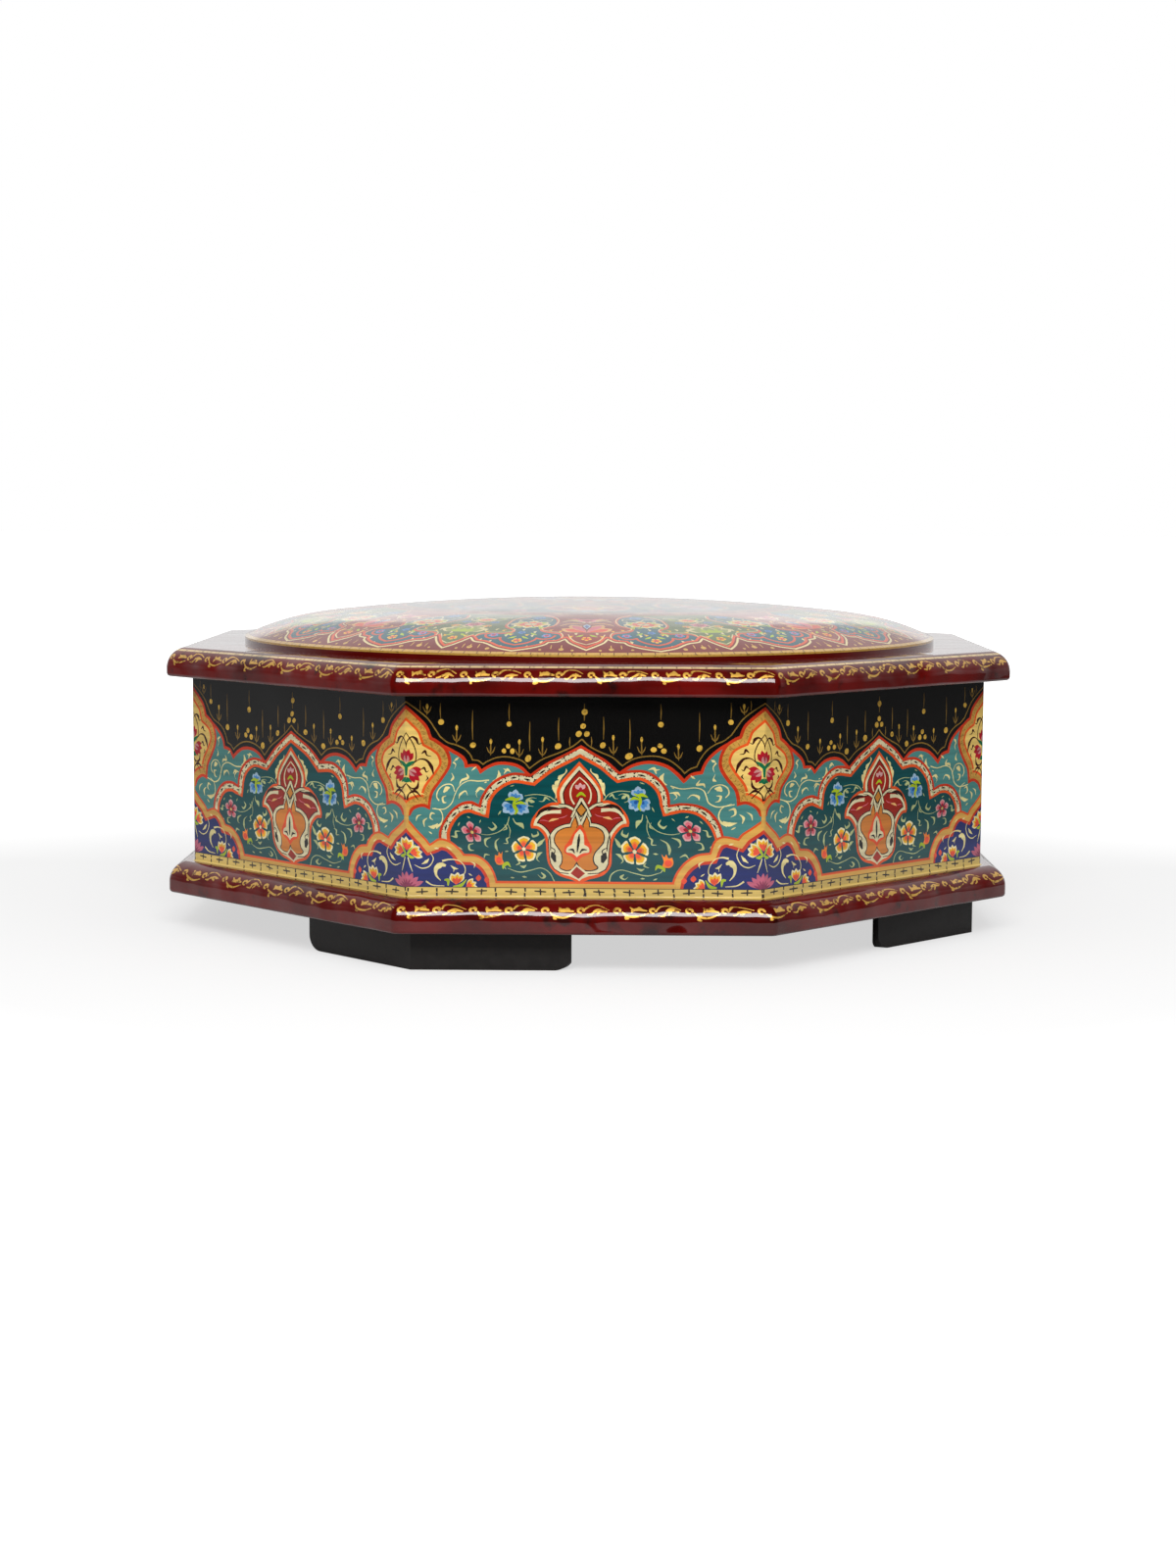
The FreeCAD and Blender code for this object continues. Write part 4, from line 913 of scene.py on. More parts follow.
def painted_wall(number, side):
    """One wall: a painted face whose upright edges are rounded a little, and five plain faces behind it."""
    draw = np.random.default_rng(100 + number)
    shapes = by_hand(DESIGN, warp_for(side, draw), draw)
    frame_outline = np.array([(-EDGE, 0), (EDGE, 0), (EDGE, WALL_HIGH), (-EDGE, WALL_HIGH)])
    round_start = EDGE - SOFT_EDGE * SLOPE
    lines = np.linspace(round_start, EDGE, 4)[:-1]
    guides = [[(s * x, 0), (s * x, WALL_HIGH)] for x in lines for s in (-1, 1)]
    guides += [[(-EDGE, v), (EDGE, v)] for v in np.linspace(0, BEAD, 7)[1:]]
    flat, triangles, owner = triangulate(shapes, frame_outline, guides)
    u, v = flat.T
    past = np.clip(np.abs(u) - round_start, 0, EDGE - round_start)
    depth = SOFT_EDGE - np.sqrt(SOFT_EDGE ** 2 - past ** 2)
    low = np.clip(1 - v / BEAD, 0, 1)
    depth = depth - BEAD * (1 - np.sqrt(1 - low ** 2))
    a = np.radians(45 * number)
    inner = EDGE - WALL_THICK * SLOPE
    back = wall_point(np.array([-inner, inner, inner, -inner]), np.array([0, 0, WALL_HIGH, WALL_HIGH]),
                      WALL_THICK, a)
    verts = np.vstack([wall_point(u, v, depth, a), back])
    n = len(flat)
    tiny = 1e-3

    def run_along(mask, key):
        """Numbers of the masked points, in the order of the key."""
        found = np.flatnonzero(mask)
        return found[np.argsort(key[found])].tolist()

    bottom = run_along(v < tiny, u)
    top = run_along(v > WALL_HIGH - tiny, u)
    left = run_along(u < -EDGE + tiny, v)
    right_edge = run_along(u > EDGE - tiny, v)
    others = [[n + 3, n + 2, n + 1, n], bottom[::-1] + [n, n + 1], top + [n + 2, n + 3],
              left + [n + 3, n], right_edge[::-1] + [n + 1, n + 2]]
    mesh = bpy.data.meshes.new("wall_" + side)
    mesh.from_pydata(verts.tolist(), [], triangles.tolist() + others)
    colour_mesh(mesh, paint_of(shapes, owner, "black", draw), len(triangles),
                linear(PAINTS["inside"])[:3] + (0,))
    slope = past / SOFT_EDGE * np.sign(u)
    straight = np.sqrt(1 - slope ** 2)
    c, s = np.cos(a), np.sin(a)
    level = np.sqrt(1 - low ** 2)
    normal = np.stack([(slope * c + straight * s) * level, (slope * s - straight * c) * level, low], 1)
    face_uv = np.stack([u + EDGE, v], 1) / (2 * EDGE) * 0.98 + 0.01
    plain_uv = np.array([(0.1, 0.7), (0.4, 0.7), (0.4, 0.9), (0.1, 0.9)])
    uv = [face_uv[triangles.ravel()], plain_uv]
    for k, polygon in enumerate(others[1:]):
        share = np.linspace(0, 1, len(polygon))
        uv.append(np.stack([0.5 + 0.1 * k + 0.08 * np.abs(2 * share - 1), 0.7 + 0.2 * share], 1))
    shade_and_map(mesh, normal[triangles.ravel()], uv)
    show("painted_wall_" + side, mesh, wall_finish, "box", "wall_" + side)
    return len(triangles)


counts = [painted_wall(number, side) for number, side in enumerate(SIDES)]
print("wall triangles:", counts)

# %% [markdown]
# Lid and base are boards with a rounded upper edge. Their rim is unrolled to a strip: p runs round the board
# and s up its profile, so the gold vine can be laid out flat and bent round with the strip. The lacquer was
# brushed on thickly, so its gloss is wavy, and darker blotches show where it pooled.

# %% Rim lacquer
def rim_lacquer(name):
    """Thick red lacquer with dark blotches; the gold on it comes from the mesh."""
    material, tree = new_material(name)
    place = add(tree, "TexCoord").outputs["Object"]
    paint = add(tree, "Attribute", attribute_name="paint", attribute_type="GEOMETRY")
    pool = add(tree, "TexNoise", {"Vector": place, "Scale": 38.0, "Detail": 5.0, "Roughness": 0.6})
    depth = add(tree, "MapRange", {"Value": pool, "From Min": 0.36, "From Max": 0.66,
                                   "To Min": 1.25, "To Max": 0.5})
    toned = add(tree, "VectorMath", {0: paint, "Scale": depth}, operation="SCALE")
    spot = add(tree, "TexNoise", {"Vector": place, "Scale": 160.0, "Detail": 3.0})
    dark = add(tree, "MapRange", {"Value": spot, "From Min": 0.6, "From Max": 0.72,
                                  "To Min": 0.0, "To Max": 0.8})
    spotted = add(tree, "MixRGB", {"Fac": dark, "Color1": toned,
                                   "Color2": linear("#1d0806")})
    speck = add(tree, "TexNoise", {"Vector": place, "Scale": 700.0, "Detail": 2.0})
    worn = add(tree, "MapRange", {"Value": speck, "From Min": 0.56, "From Max": 0.62,
                                  "To Min": 0.0, "To Max": 0.75})
    kept = add(tree, "MixRGB", {"Fac": paint.outputs["Alpha"], "Color1": spotted,
                                "Color2": paint})
    worn_gold = add(tree, "Math", {0: worn, 1: paint.outputs["Alpha"]}, operation="MULTIPLY")
    colour = add(tree, "MixRGB", {"Fac": worn_gold, "Color1": kept,
                                  "Color2": linear("#5a1a10")})
    metal = add(tree, "Math", {0: paint.outputs["Alpha"], 1: 0.55}, operation="MULTIPLY")
    wave = add(tree, "TexNoise", {"Vector": place, "Scale": 110.0, "Detail": 0.5})
    swell = add(tree, "TexNoise", {"Vector": place, "Scale": 30.0, "Detail": 1.0})
    both = add(tree, "Math", {0: swell, 1: 4.0, 2: wave},
               operation="MULTIPLY_ADD")
    facing = add(tree, "SeparateXYZ", {"Vector": add(tree, "NewGeometry").outputs["Normal"]})
    calm = add(tree, "MapRange", {"Value": facing.outputs["Z"], "From Min": 0.5, "From Max": 0.97,
                                  "To Min": 0.8, "To Max": 0.15})
    coat_bump = add(tree, "Bump", {"Height": both, "Strength": calm,
                                   "Distance": 0.0009})
    varnish(tree, colour, 0.45, metal, coat_bump, coat_bump, 0.05)
    return material


rim_finish = rim_lacquer("red_lacquer_with_gold_vine")
print("rim lacquer has", len(rim_finish.node_tree.nodes), "nodes")

# %% [markdown]
# Both rims carry a running vine in gold. Its motif is a list of strokes that repeats along the strip, and a
# seeded draw varies each stroke. The lid has a narrow ticked band above it.

# %% Gold vine for the rims
BOARD_SIDE = 2 * BOARD_OUT * SLOPE
ROUND_TRIP = 8 * BOARD_SIDE
# width and height of the rounded edge, and radius of the eased lower edge and of the corners in plan
MOULD_WIDE, MOULD_HIGH, EASE, CORNER_ROUND = 5.3, 6.6, 1.1, 3.0
MOULD_RADIUS = (MOULD_WIDE ** 2 + MOULD_HIGH ** 2) / (2 * MOULD_WIDE)
MOULD_TURN = np.arcsin(MOULD_HIGH / MOULD_RADIUS)
# the painted strip runs on over the level top by this much
TOP_STRIP = 2.4
PAINTS.update(rim="#600603", rim_gold="#e3b150", rim_band="#e2c488", rim_tick="#5b1a10")
GOLD_SHARE.update(rim_gold=1.0, rim_band=0.5)


def vine_motif(draw):
    """Two rings with a hanging and a standing scroll between them, over one period of 19.3 mm from 0."""
    made = []
    for x in (0.0, 9.65):
        ring = stroke([(x + 0.8 * np.cos(a), 6.9 + 0.75 * np.sin(a)) for a in np.linspace(-0.5, 5.0, 8)],
                      0.6, 0.9, 0.7, 0.5, per=3)
        made.append((ring, "rim_gold"))
    for points, widths in (
            (((1.2, 6.4), (2.6, 5.2), (5.4, 4.9), (8.3, 5.8)), (0.3, 0.7, 0.75, 0.6, 0.3)),
            (((2.7, 5.4), (2.3, 4.5), (3.1, 4.2)), (0.6, 0.9, 0.4)),
            (((3.6, 8.1), (4.1, 7.3), (3.9, 6.3)), (0.3, 0.9, 0.3)),
            (((3.7, 6.6), (5.2, 7.2), (7.9, 6.7)), (0.6, 1.3, 0.5)),
            (((5.4, 6.8), (5.9, 7.9), (6.9, 7.3)), (0.5, 0.9, 0.4)),
            (((10.8, 7), (11.9, 8.4), (14.4, 8.5), (17.3, 7.2)), (0.5, 0.8, 0.4, 0.4, 0.3)),
            (((11.2, 5.6), (12.3, 5.7), (13.3, 6.7)), (0.3, 0.7, 0.3)),
            (((12.9, 6.4), (14.6, 7.1), (16.6, 6.6)), (0.6, 1.3, 0.4)),
            (((13.8, 5.7), (14.6, 6.2), (15, 7.4)), (0.4, 0.8, 0.3))):
        shift = draw.normal(0, 0.16, (len(points), 2))
        widths = np.array(widths) * draw.uniform(0.75, 1.1)
        made.append((stroke(np.array(points) + shift, *widths), "rim_gold"))
    return made


def rim_shapes(draw, period, lift, band):
    """The vine all round a board, and the ticked band above it where the board has one."""
    made = []
    count = round(ROUND_TRIP / period)
    for k in range(count):
        for outline, paint in vine_motif(draw):
            at = np.array([1.8 + k * ROUND_TRIP / count, lift])
            scale = np.array([ROUND_TRIP / count / 19.5, 1])
            made.append((outline * scale + at, paint))
    if band:
        made.append((np.array([(0, band[0]), (ROUND_TRIP, band[0]), (ROUND_TRIP, band[1]), (0, band[1])]),
                     "rim_band"))
        for k in range(int(ROUND_TRIP / 4.6)):
            x = 2 + 4.6 * k + draw.normal(0, 0.15)
            made.append((stroke([(x, band[0] + 0.1), (x + 0.1, band[1] - 0.1)], 0.3, 0.25), "rim_tick"))
    return made

# %% [markdown]
# A board is that strip carried round the octagon. Its corners are rounded a little, because lacquer fills
# them, and its profile is an eased lower edge, an upright face and an arc that runs into the level top. The
# two ends of the strip meet at a back corner and share their points there.

# %% Rounded octagon and board profile
def round_plan(p):
    """Point of the rounded octagon and its outward normal at distance p round it, from a back corner."""
    number, along = np.divmod(p, BOARD_SIDE)
    along = along - BOARD_SIDE / 2
    reach = CORNER_ROUND * SLOPE
    past = np.clip(np.abs(along) - (BOARD_SIDE / 2 - reach), 0, None)
    a = past / reach * np.radians(22.5) * np.sign(along)
    x = np.clip(along, -(BOARD_SIDE / 2 - reach), BOARD_SIDE / 2 - reach) + CORNER_ROUND * np.sin(a)
    y = -(BOARD_OUT - CORNER_ROUND) - CORNER_ROUND * np.cos(a)
    turn_angle = np.radians(45) * (number + 4)
    c, s = np.cos(turn_angle), np.sin(turn_angle)
    normal = np.stack([np.sin(a) * c + np.cos(a) * s, np.sin(a) * s - np.cos(a) * c], 1)
    return np.stack([x * c - y * s, x * s + y * c], 1), normal


def profile(s, thick):
    """Distance in from the edge and height at s up the profile: eased lower edge, upright, arc, level top."""
    upright = thick - MOULD_HIGH
    arc = MOULD_RADIUS * MOULD_TURN
    t = np.clip(s - upright, 0, arc) / MOULD_RADIUS
    low_turn = np.clip(1 - s / EASE, 0, 1) * np.pi / 2
    inward = MOULD_RADIUS * (1 - np.cos(t)) + np.clip(s - upright - arc, 0, None)
    high = np.clip(s, 0, upright) + MOULD_RADIUS * np.sin(t)
    return inward + EASE * (1 - np.cos(low_turn)), np.where(s < EASE, EASE * (1 - np.sin(low_turn)), high)


def board(name, node, body, bottom, thick, shapes, holes, draw):
    """A board: the painted strip all round, the level top and an underside with recesses for pin heads."""
    upright = thick - MOULD_HIGH
    arc_end = upright + MOULD_RADIUS * MOULD_TURN
    top_end = arc_end + TOP_STRIP
    frame_outline = np.array([(0, 0), (ROUND_TRIP, 0), (ROUND_TRIP, top_end), (0, top_end)])
    levels = np.r_[np.linspace(0, EASE, 4)[1:], np.linspace(upright, arc_end, 17)]
    guides = [[(0, s), (ROUND_TRIP, s)] for s in levels]
    reach = CORNER_ROUND * SLOPE
    for k in range(9):
        for share in np.linspace(-1, 1, 7):
            x = k * BOARD_SIDE + share * reach
            if 0.01 < x < ROUND_TRIP - 0.01:
                guides.append([(x, 0), (x, top_end)])
    flat, triangles, owner = triangulate(shapes, frame_outline, guides)
    p, s = flat.T
    plan, normal = round_plan(np.mod(p, ROUND_TRIP))
    inward, high = profile(s, thick)
    xy = plan * (1 - inward / BOARD_OUT)[:, None]
    verts = np.hstack([xy, (bottom + high)[:, None]])
    tiny = 1e-3
    seam = np.flatnonzero(p > ROUND_TRIP - tiny)
    start = np.flatnonzero(p < tiny)
    partner = {int(k): int(start[np.argmin(np.abs(s[start] - s[k]))]) for k in seam}
    joined = np.array([partner.get(k, k) for k in range(len(flat))])
    welded = joined[triangles]

    def ring(mask):
        """Numbers of the masked points, in order round the board."""
        found = np.flatnonzero(mask & (p < ROUND_TRIP - tiny))
        return found[np.argsort(p[found])].tolist()

    top_loop, low_loop = ring(s > top_end - tiny), ring(s < tiny)
    level = xy[low_loop]
    circle = [dot(x, y, radius, 20) for x, y, radius in holes]
    under, under_triangles, hole_number = triangulate([(o, "rim") for o in circle], level)
    under_index = []
    n = len(verts)
    extra = []
    for q in under:
        nearest = np.argmin(((level - q) ** 2).sum(1))
        if ((level[nearest] - q) ** 2).sum() < 1e-6:
            under_index.append(low_loop[nearest])
        else:
            under_index.append(n + len(extra))
            extra.append((q[0], q[1], bottom))
    under_index = np.array(under_index)
    outside = under_triangles[hole_number < 0]
    faces = [welded.tolist(), [top_loop], under_index[outside][:, ::-1].tolist()]
    extra = np.array(extra).reshape(-1, 3)
    deep = 0.8
    for o in circle:
        rim = [n + int(np.argmin(((extra[:, :2] - q) ** 2).sum(1))) for q in o]
        lifted = list(range(n + len(extra), n + len(extra) + len(o)))
        extra = np.vstack([extra, np.hstack([o, np.full((len(o), 1), bottom + deep)])])
        k = len(o)
        faces.append([[rim[i], rim[(i + 1) % k], lifted[(i + 1) % k], lifted[i]][::-1] for i in range(k)])
        faces.append([lifted[::-1]])
    verts = np.vstack([verts, extra]) * MM
    every = [face for group in faces for face in group]
    mesh = bpy.data.meshes.new(name)
    mesh.from_pydata(verts.tolist(), [], every)
    if mesh.validate():
        raise RuntimeError(f"{name} has faces that don't hold together")
    colour_mesh(mesh, paint_of(shapes, owner, "rim", draw), len(triangles), linear(PAINTS["rim"])[:3] + (0,))
    centre_s = s[triangles].mean(1)
    tilt = np.clip((s[triangles] - upright) / MOULD_RADIUS, 0, MOULD_TURN)
    tilt = np.where(centre_s[:, None] > arc_end - tiny, np.pi / 2, tilt)
    tilt = np.where(centre_s[:, None] < EASE, -np.clip(1 - s[triangles] / EASE, 0, 1) * np.pi / 2, tilt)
    corner_normal = np.concatenate([normal[triangles] * np.cos(tilt)[..., None], np.sin(tilt)[..., None]], 2)
    row = np.floor(p[triangles].mean(1) / BOARD_SIDE)
    uv = np.stack([0.01 + (p[triangles] - row[:, None] * BOARD_SIDE) / BOARD_SIDE * 0.97,
                   0.012 + 0.1 * row[:, None] + s[triangles] / top_end * 0.085], 2)
    rest_uv = [np.stack([0.05 + 0.15 * (np.array([verts[v][0] for v in f]) / BOARD_OUT / MM / 2 + 0.5),
                         0.83 + 0.15 * (np.array([verts[v][1] for v in f]) / BOARD_OUT / MM / 2 + 0.5)], 1)
               for f in every[len(triangles):]]
    shade_and_map(mesh, corner_normal.reshape(-1, 3), [uv.reshape(-1, 2)] + rest_uv)
    show(name, mesh, rim_finish, body, node)
    return len(every)

# %% [markdown]
# One function makes both boards. Headed pins come up through the base into the walls, so its underside has a
# shallow recess for each head.

# %% Lid board and base board
draw = np.random.default_rng(7)
lid_faces = board("moulded_lid_board", "lid_board", "lid", lid_low[2], lid_high[2] - lid_low[2],
                  rim_shapes(draw, 19.3, 0.0, (9.6, 10.6)), [], draw)
PIN_SPREAD, PIN_HEAD = 34.0, 1.75
pin_out = WALL_OUT - WALL_THICK / 2
pin_holes = []
for k in range(8):
    c, s = np.cos(np.radians(45 * k)), np.sin(np.radians(45 * k))
    for x in (-PIN_SPREAD, PIN_SPREAD):
        pin_holes.append((x * c + pin_out * s, x * s - pin_out * c, PIN_HEAD))
base_faces = board("moulded_base_board", "base_board", "box", base_low[2], base_high[2] - base_low[2],
                   rim_shapes(draw, 22.2, 0.9, None), pin_holes, draw)
print("boards:", lid_faces, "and", base_faces, "faces")

# %% [markdown]
# The dome is turned in plan: its painting is worked out as angle and radius, one half of a sector of 45
# degrees, then mirrored and repeated. Its height follows from the radius by two arcs that meet smoothly.

# %% Dome painting
PAINTS.update(dome="#7a1b12", dome_gold="#dcae52", field_a="#8f2f22", field_b="#1f5a66", field_c="#5f7040",
              line="#e0cf98", line_red="#d8532a", pale_blue="#a9c3d8", olive="#8f9a55", petal_gold="#e0a860",
              lilac="#4a5f9c", middle="#103f44", middle_red="#7d1a12", lid_edge="#5c0a06")
GOLD_SHARE.update(dome_gold=0.9)
DOME = []
CROWN_OUT = 72.6


def spot(angle, radius):
    """Plan point at an angle from the front and a radius, in millimetres."""
    a = np.radians(angle)
    return radius * np.sin(a), -radius * np.cos(a)


def polar(line):
    """Plan points of a line of (angle, radius) pairs."""
    line = np.array(line, float)
    return np.stack(spot(line[:, 0], line[:, 1]), 1)


def spun(outline, degrees):
    """A plan outline turned about the middle."""
    c, s = np.cos(np.radians(degrees)), np.sin(np.radians(degrees))
    return outline @ np.array([[c, s], [-s, c]])


def round_dome(outline, *paints, both=True, copies=8):
    """Adds a plan outline and all its turns, with its mirror image where it lies beside an axis."""
    for paint in paints:
        for k in range(copies):
            DOME.append((spun(outline, 360 / copies * k), paint))
            if both:
                DOME.append((spun(outline * (-1, 1), 360 / copies * k), paint))


def closed_ring(half):
    """Closed outline all round from a half sector of (angle, radius) points."""
    sector = np.vstack([half, (np.array([45, 0]) + half * (-1, 1))[::-1][1:-1]])
    return turned(polar(np.vstack([sector + (45 * k, 0) for k in range(8)])))


def full_circle(radius, points=128):
    """A circle about the middle of the dome."""
    return dot(0, 0, radius, points)


def margin(outline):
    """Everything from that outline out to the rim: a ring, joined to its hole along one cut."""
    rim = full_circle(DOME_OUT + 1, 256)
    start = np.argmin(np.abs(outline[:, 0]) + (outline[:, 1] > 0) * 999)
    hole = np.roll(outline, -start, 0)
    begin = np.argmin(((rim - hole[0]) ** 2).sum(1))
    rim = np.roll(rim, -begin, 0)
    return np.vstack([rim, rim[:1], np.vstack([hole, hole[:1]])[::-1]])


def dome_flower(angle, radius, size, layers, petals=5, spin=0.0):
    """A flower on the dome, and its mirror image where it lies beside an axis. A small one has fewer
    layers."""
    beside = min(angle % 22.5, 22.5 - angle % 22.5) > 0.01
    if size < 2.7:
        layers = layers[1:] if len(layers) == 3 else layers[1::2]
    for outline, paint in flower(*spot(angle, radius), size, layers, petals, start=angle - 90 + spin,
                                 foot=0.05, points=5):
        round_dome(outline, paint, both=beside)


def dome_stroke(points, *widths, paint="line"):
    """A touch of the brush along (angle, radius) points, with its mirror image and all their turns."""
    round_dome(stroke(polar(points), *widths, per=3), paint)

# %% [markdown]
# Red and olive fields alternate round the dome on a blue-green ground. An outline is a list of angles and
# radii for half a field, because the other half is its mirror image.

# %% Fields of the dome
field_a = [(0, 119), (4.2, 112), (4.0, 109), (4.6, 106), (6.2, 104.9), (7.6, 103.4), (8.2, 101.2),
           (7.6, 98.8), (6.5, 96), (6.1, 91), (6.3, 85), (7.2, 80), (8.6, 76.5), (11.25, 73.5),
           (11.25, 60), (0, 60)]
field_c = [(22.5, 119), (18.8, 112), (18.8, 109), (17.8, 106.8), (15.4, 106.4), (13.4, 105.6), (12.9, 103.6),
           (13.4, 101.6), (14.9, 99), (15.7, 95), (16.1, 90), (16.4, 84), (15.6, 80), (14, 76.5),
           (11.25, 73.5), (11.25, 60), (22.5, 60)]
DOME.append((full_circle(DOME_OUT - 0.2), "field_b"))
for half, paint, axis in ((field_a, "field_a", 0), (field_c, "field_c", 22.5)):
    outline = np.vstack([half, [(2 * axis - a, r) for a, r in half[::-1]]])
    edge = polar(through([(a, r) for a, r in half[1:14]], per=4))
    round_dome(polar(outline), paint, both=False)
    round_dome(ribbon(edge, 1.0), "line_red")
    round_dome(ribbon(edge * (1 - 1.2 / 95), 0.35), "line")
dome_stroke([(0, 115), (1.7, 112.8), (2.6, 110), (3.1, 106.5)], 0.35, 0.5, 0.5, 0.3)
dome_stroke([(22.5, 115.2), (20.9, 113), (20.2, 110), (19.4, 107.4)], 0.35, 0.5, 0.5, 0.3)
arch_b = through([(11.25, 115.6), (9.6, 114.2), (8.5, 112), (8.2, 110.2)],
                 [(8.2, 110.2), (7.2, 111), (5.8, 110), (5.2, 107.6)], per=5)
round_dome(ribbon(polar(arch_b), 0.8), "line_red")
arch_c = arch_b * (-1, 1) + (22.5, 0)
round_dome(ribbon(polar(arch_c), 0.8), "line_red")
for angle in (6.7, 15.8):
    dome_flower(angle, 107.9, 2.0, BLUE)
    dome_flower(angle, 107.9, 1.35, PINK, spin=36)
for angle, radius, size in ((0, 110.4, 1.9), (11.25, 112.2, 2.0), (22.5, 111, 1.9)):
    dome_flower(angle, radius, size, ORANGE)
dome_flower(11.25, 105, 1.6, BLUE)
for a, r, lean in ((0.9, 107.9, 1), (12.1, 109.8, 1), (10.4, 109.8, -1), (21.5, 108.3, -1), (9.3, 106.4, -1),
                   (13.2, 106.6, 1), (10.2, 98.6, -1), (12.3, 98.6, 1)):
    dome_stroke([(a - 0.35 * lean, r - 1.1), (a + 0.2 * lean, r), (a + 0.9 * lean, r + 0.9)], 0.3, 1.2, 0.2,
                paint="leaf")
for a, r in ((1.7, 105.8), (9.0, 108), (13.5, 108), (20.9, 106.2), (8.9, 104.3), (11.2, 101.6), (7.1, 113.4),
             (5.3, 112.4), (15.5, 113.3), (17.3, 112.3), (9.2, 117), (13.4, 117), (18, 103), (16.2, 101.8)):
    dome_stroke([(a, r + 1.1), (a + 0.15, r), (a - 0.1, r - 1)], 0.25, 0.95, 0.3)
for a, r in ((2.4, 108.6), (9.9, 107.4), (12.7, 107.3), (20.4, 109.2), (4.4, 103.2), (6.2, 102),
             (17.4, 104.8), (19.6, 102.6), (14.6, 103)):
    dome_stroke([(a, r + 0.7), (a + 0.3, r), (a - 0.2, r - 0.8)], 0.2, 0.9, 0.2, paint="yellow")
print("outer fields of the dome:", len(DOME), "shapes")

# %% [markdown]
# Palmettes and large flowers stand in the middle of the fields, with leaves and pale strokes about them.

# %% Palmettes and large flowers of the dome
for reach, width, lean, paint in ((9.5, 5.4, 58, "petal_gold"), (8.2, 3.6, 58, "flame"),
                                  (12.5, 5.0, 24, "petal_gold"), (11, 3.2, 24, "rose")):
    round_dome(petal(*spot(0, 104.5), 90 + lean, reach, width, 0.62), paint)
round_dome(petal(*spot(0, 103), 90, 12, 3.0, 0.55), "line", "field_a", both=False)
round_dome(petal(*spot(0, 100.5), 90, 8.6, 2.4, 0.6), "pale_blue", both=False)
round_dome(petal(*spot(0, 99.5), 90, 6, 1.3, 0.6), "lilac", both=False)
dome_stroke([(0.4, 92), (2.4, 90.4), (4.2, 92), (5.2, 95.4)], 0.4, 1.4, 1.0, 0.3, paint="petal_gold")
dome_stroke([(0.3, 89), (1.8, 85.6), (3.9, 84.6), (5.2, 87.6)], 0.5, 1.8, 1.2, 0.3, paint="line")
dome_stroke([(0.5, 87), (2.6, 82.4), (5.0, 81.2)], 0.5, 2.2, 0.4, paint="petal_gold")
dome_stroke([(0, 86), (1.6, 82), (3.6, 79.4)], 0.4, 1.6, 0.3, paint="rose")
dome_flower(0, 84.6, 3.2, PINK, petals=6)
BIG = (("shell", 1.0, 0.6, 0.72), ("yellow", 0.84, 0.4, 0.7), ("vermilion", 0.62, 0.34, 0.66),
       ("line", 0.28, 0.3, 0.6))
dome_flower(11.25, 92.6, 6.4, BIG, petals=8)
DOME_LEAVES = ((9.4, 88.2, -1), (13.1, 88.2, 1), (9.2, 97, -1), (13.3, 97, 1))
for a, r, lean in DOME_LEAVES:
    dome_stroke([(a, r), (a + 0.7 * lean, r + 1.4), (a + 0.5 * lean, r + 3.6)], 0.4, 1.7, 0.2, paint="leaf")
dome_stroke([(11.25, 86.8), (10, 83), (8.2, 81.6), (7.8, 84.6), (8.8, 86)], 0.3, 0.55, 0.5, 0.4, 0.9)
dome_stroke([(11.3, 86.8), (12.6, 83), (14.4, 82), (14.9, 85), (14, 86.4)], 0.3, 0.55, 0.5, 0.4, 0.9)
dome_stroke([(7.6, 98), (7.4, 94), (8.2, 90), (7.6, 87)], 0.2, 0.6, 0.5, 0.2)
dome_stroke([(14.6, 96), (14.8, 92), (14.2, 89), (14.9, 86.4)], 0.2, 0.6, 0.5, 0.2)
dome_flower(11.25, 79.3, 2.6, BLUE)
for lean, reach in ((62, 9), (30, 11.5), (0, 8)):
    side = lean != 0
    for paint, share in (("line", 1.0), ("olive", 0.82), ("leaf", 0.5)):
        round_dome(petal(*spot(22.5, 105.4), 112.5 + lean, reach * share, 4.6 * share, 0.6), paint, both=side)
dome_flower(22.5, 94.6, 3.4, PINK, petals=6)
dome_flower(19.3, 90, 2.0, BLUE)
dome_flower(19.2, 97.2, 1.9, ORANGE)
dome_flower(22.5, 85.4, 3.4, ORANGE, petals=6)
dome_stroke([(22.4, 91), (21, 88.6), (19, 86), (18, 82.6)], 0.3, 0.7, 0.5, 0.2)
dome_stroke([(21.8, 82), (20.2, 80), (18.4, 79.6), (17.6, 81.2)], 0.4, 0.9, 0.6, 0.2)
dome_stroke([(20.9, 99.4), (19.6, 100), (18.6, 102)], 0.3, 0.9, 0.3)
dome_stroke([(20.6, 84.4), (19.3, 83), (18.9, 80.6)], 0.3, 1.2, 0.3, paint="leaf")
print("with palmettes:", len(DOME), "shapes")

# %% [markdown]
# The crown of the dome can't be read from the photograph, because the varnish mirrors the white room there.
# It is painted as such boxes usually are: a round of lobed medallions about a rosette, in the same colours.

# %% Crown of the dome
for radius, paint in ((CROWN_OUT, "dome_gold"), (71.8, "line_red"), (70.6, "middle_red"), (66.4, "line_red"),
                      (65.6, "dome_gold"), (64.9, "middle")):
    DOME.append((full_circle(radius), paint))
for k in range(32):
    x, y = spot(11.25 * k + 5.6, 68.5)
    DOME.append((dot(x, y, 0.9, 8), "dome_gold"))
    DOME.append((petal(*spot(11.25 * k + 1.2, 67.6), 11.25 * k + 2, 4.2, 1.5, points=5), "line"))
    DOME.append((petal(*spot(11.25 * k + 1.2, 69.2), 11.25 * k - 2, 4.2, 1.3, points=5), "petal_gold"))
lobe = through([(0, 64), (2.4, 61.4), (6, 60.4), (9.6, 58.6)], [(9.6, 58.6), (13, 54), (14.5, 48), (11, 42)],
               [(11, 42), (6, 38), (0, 34)])
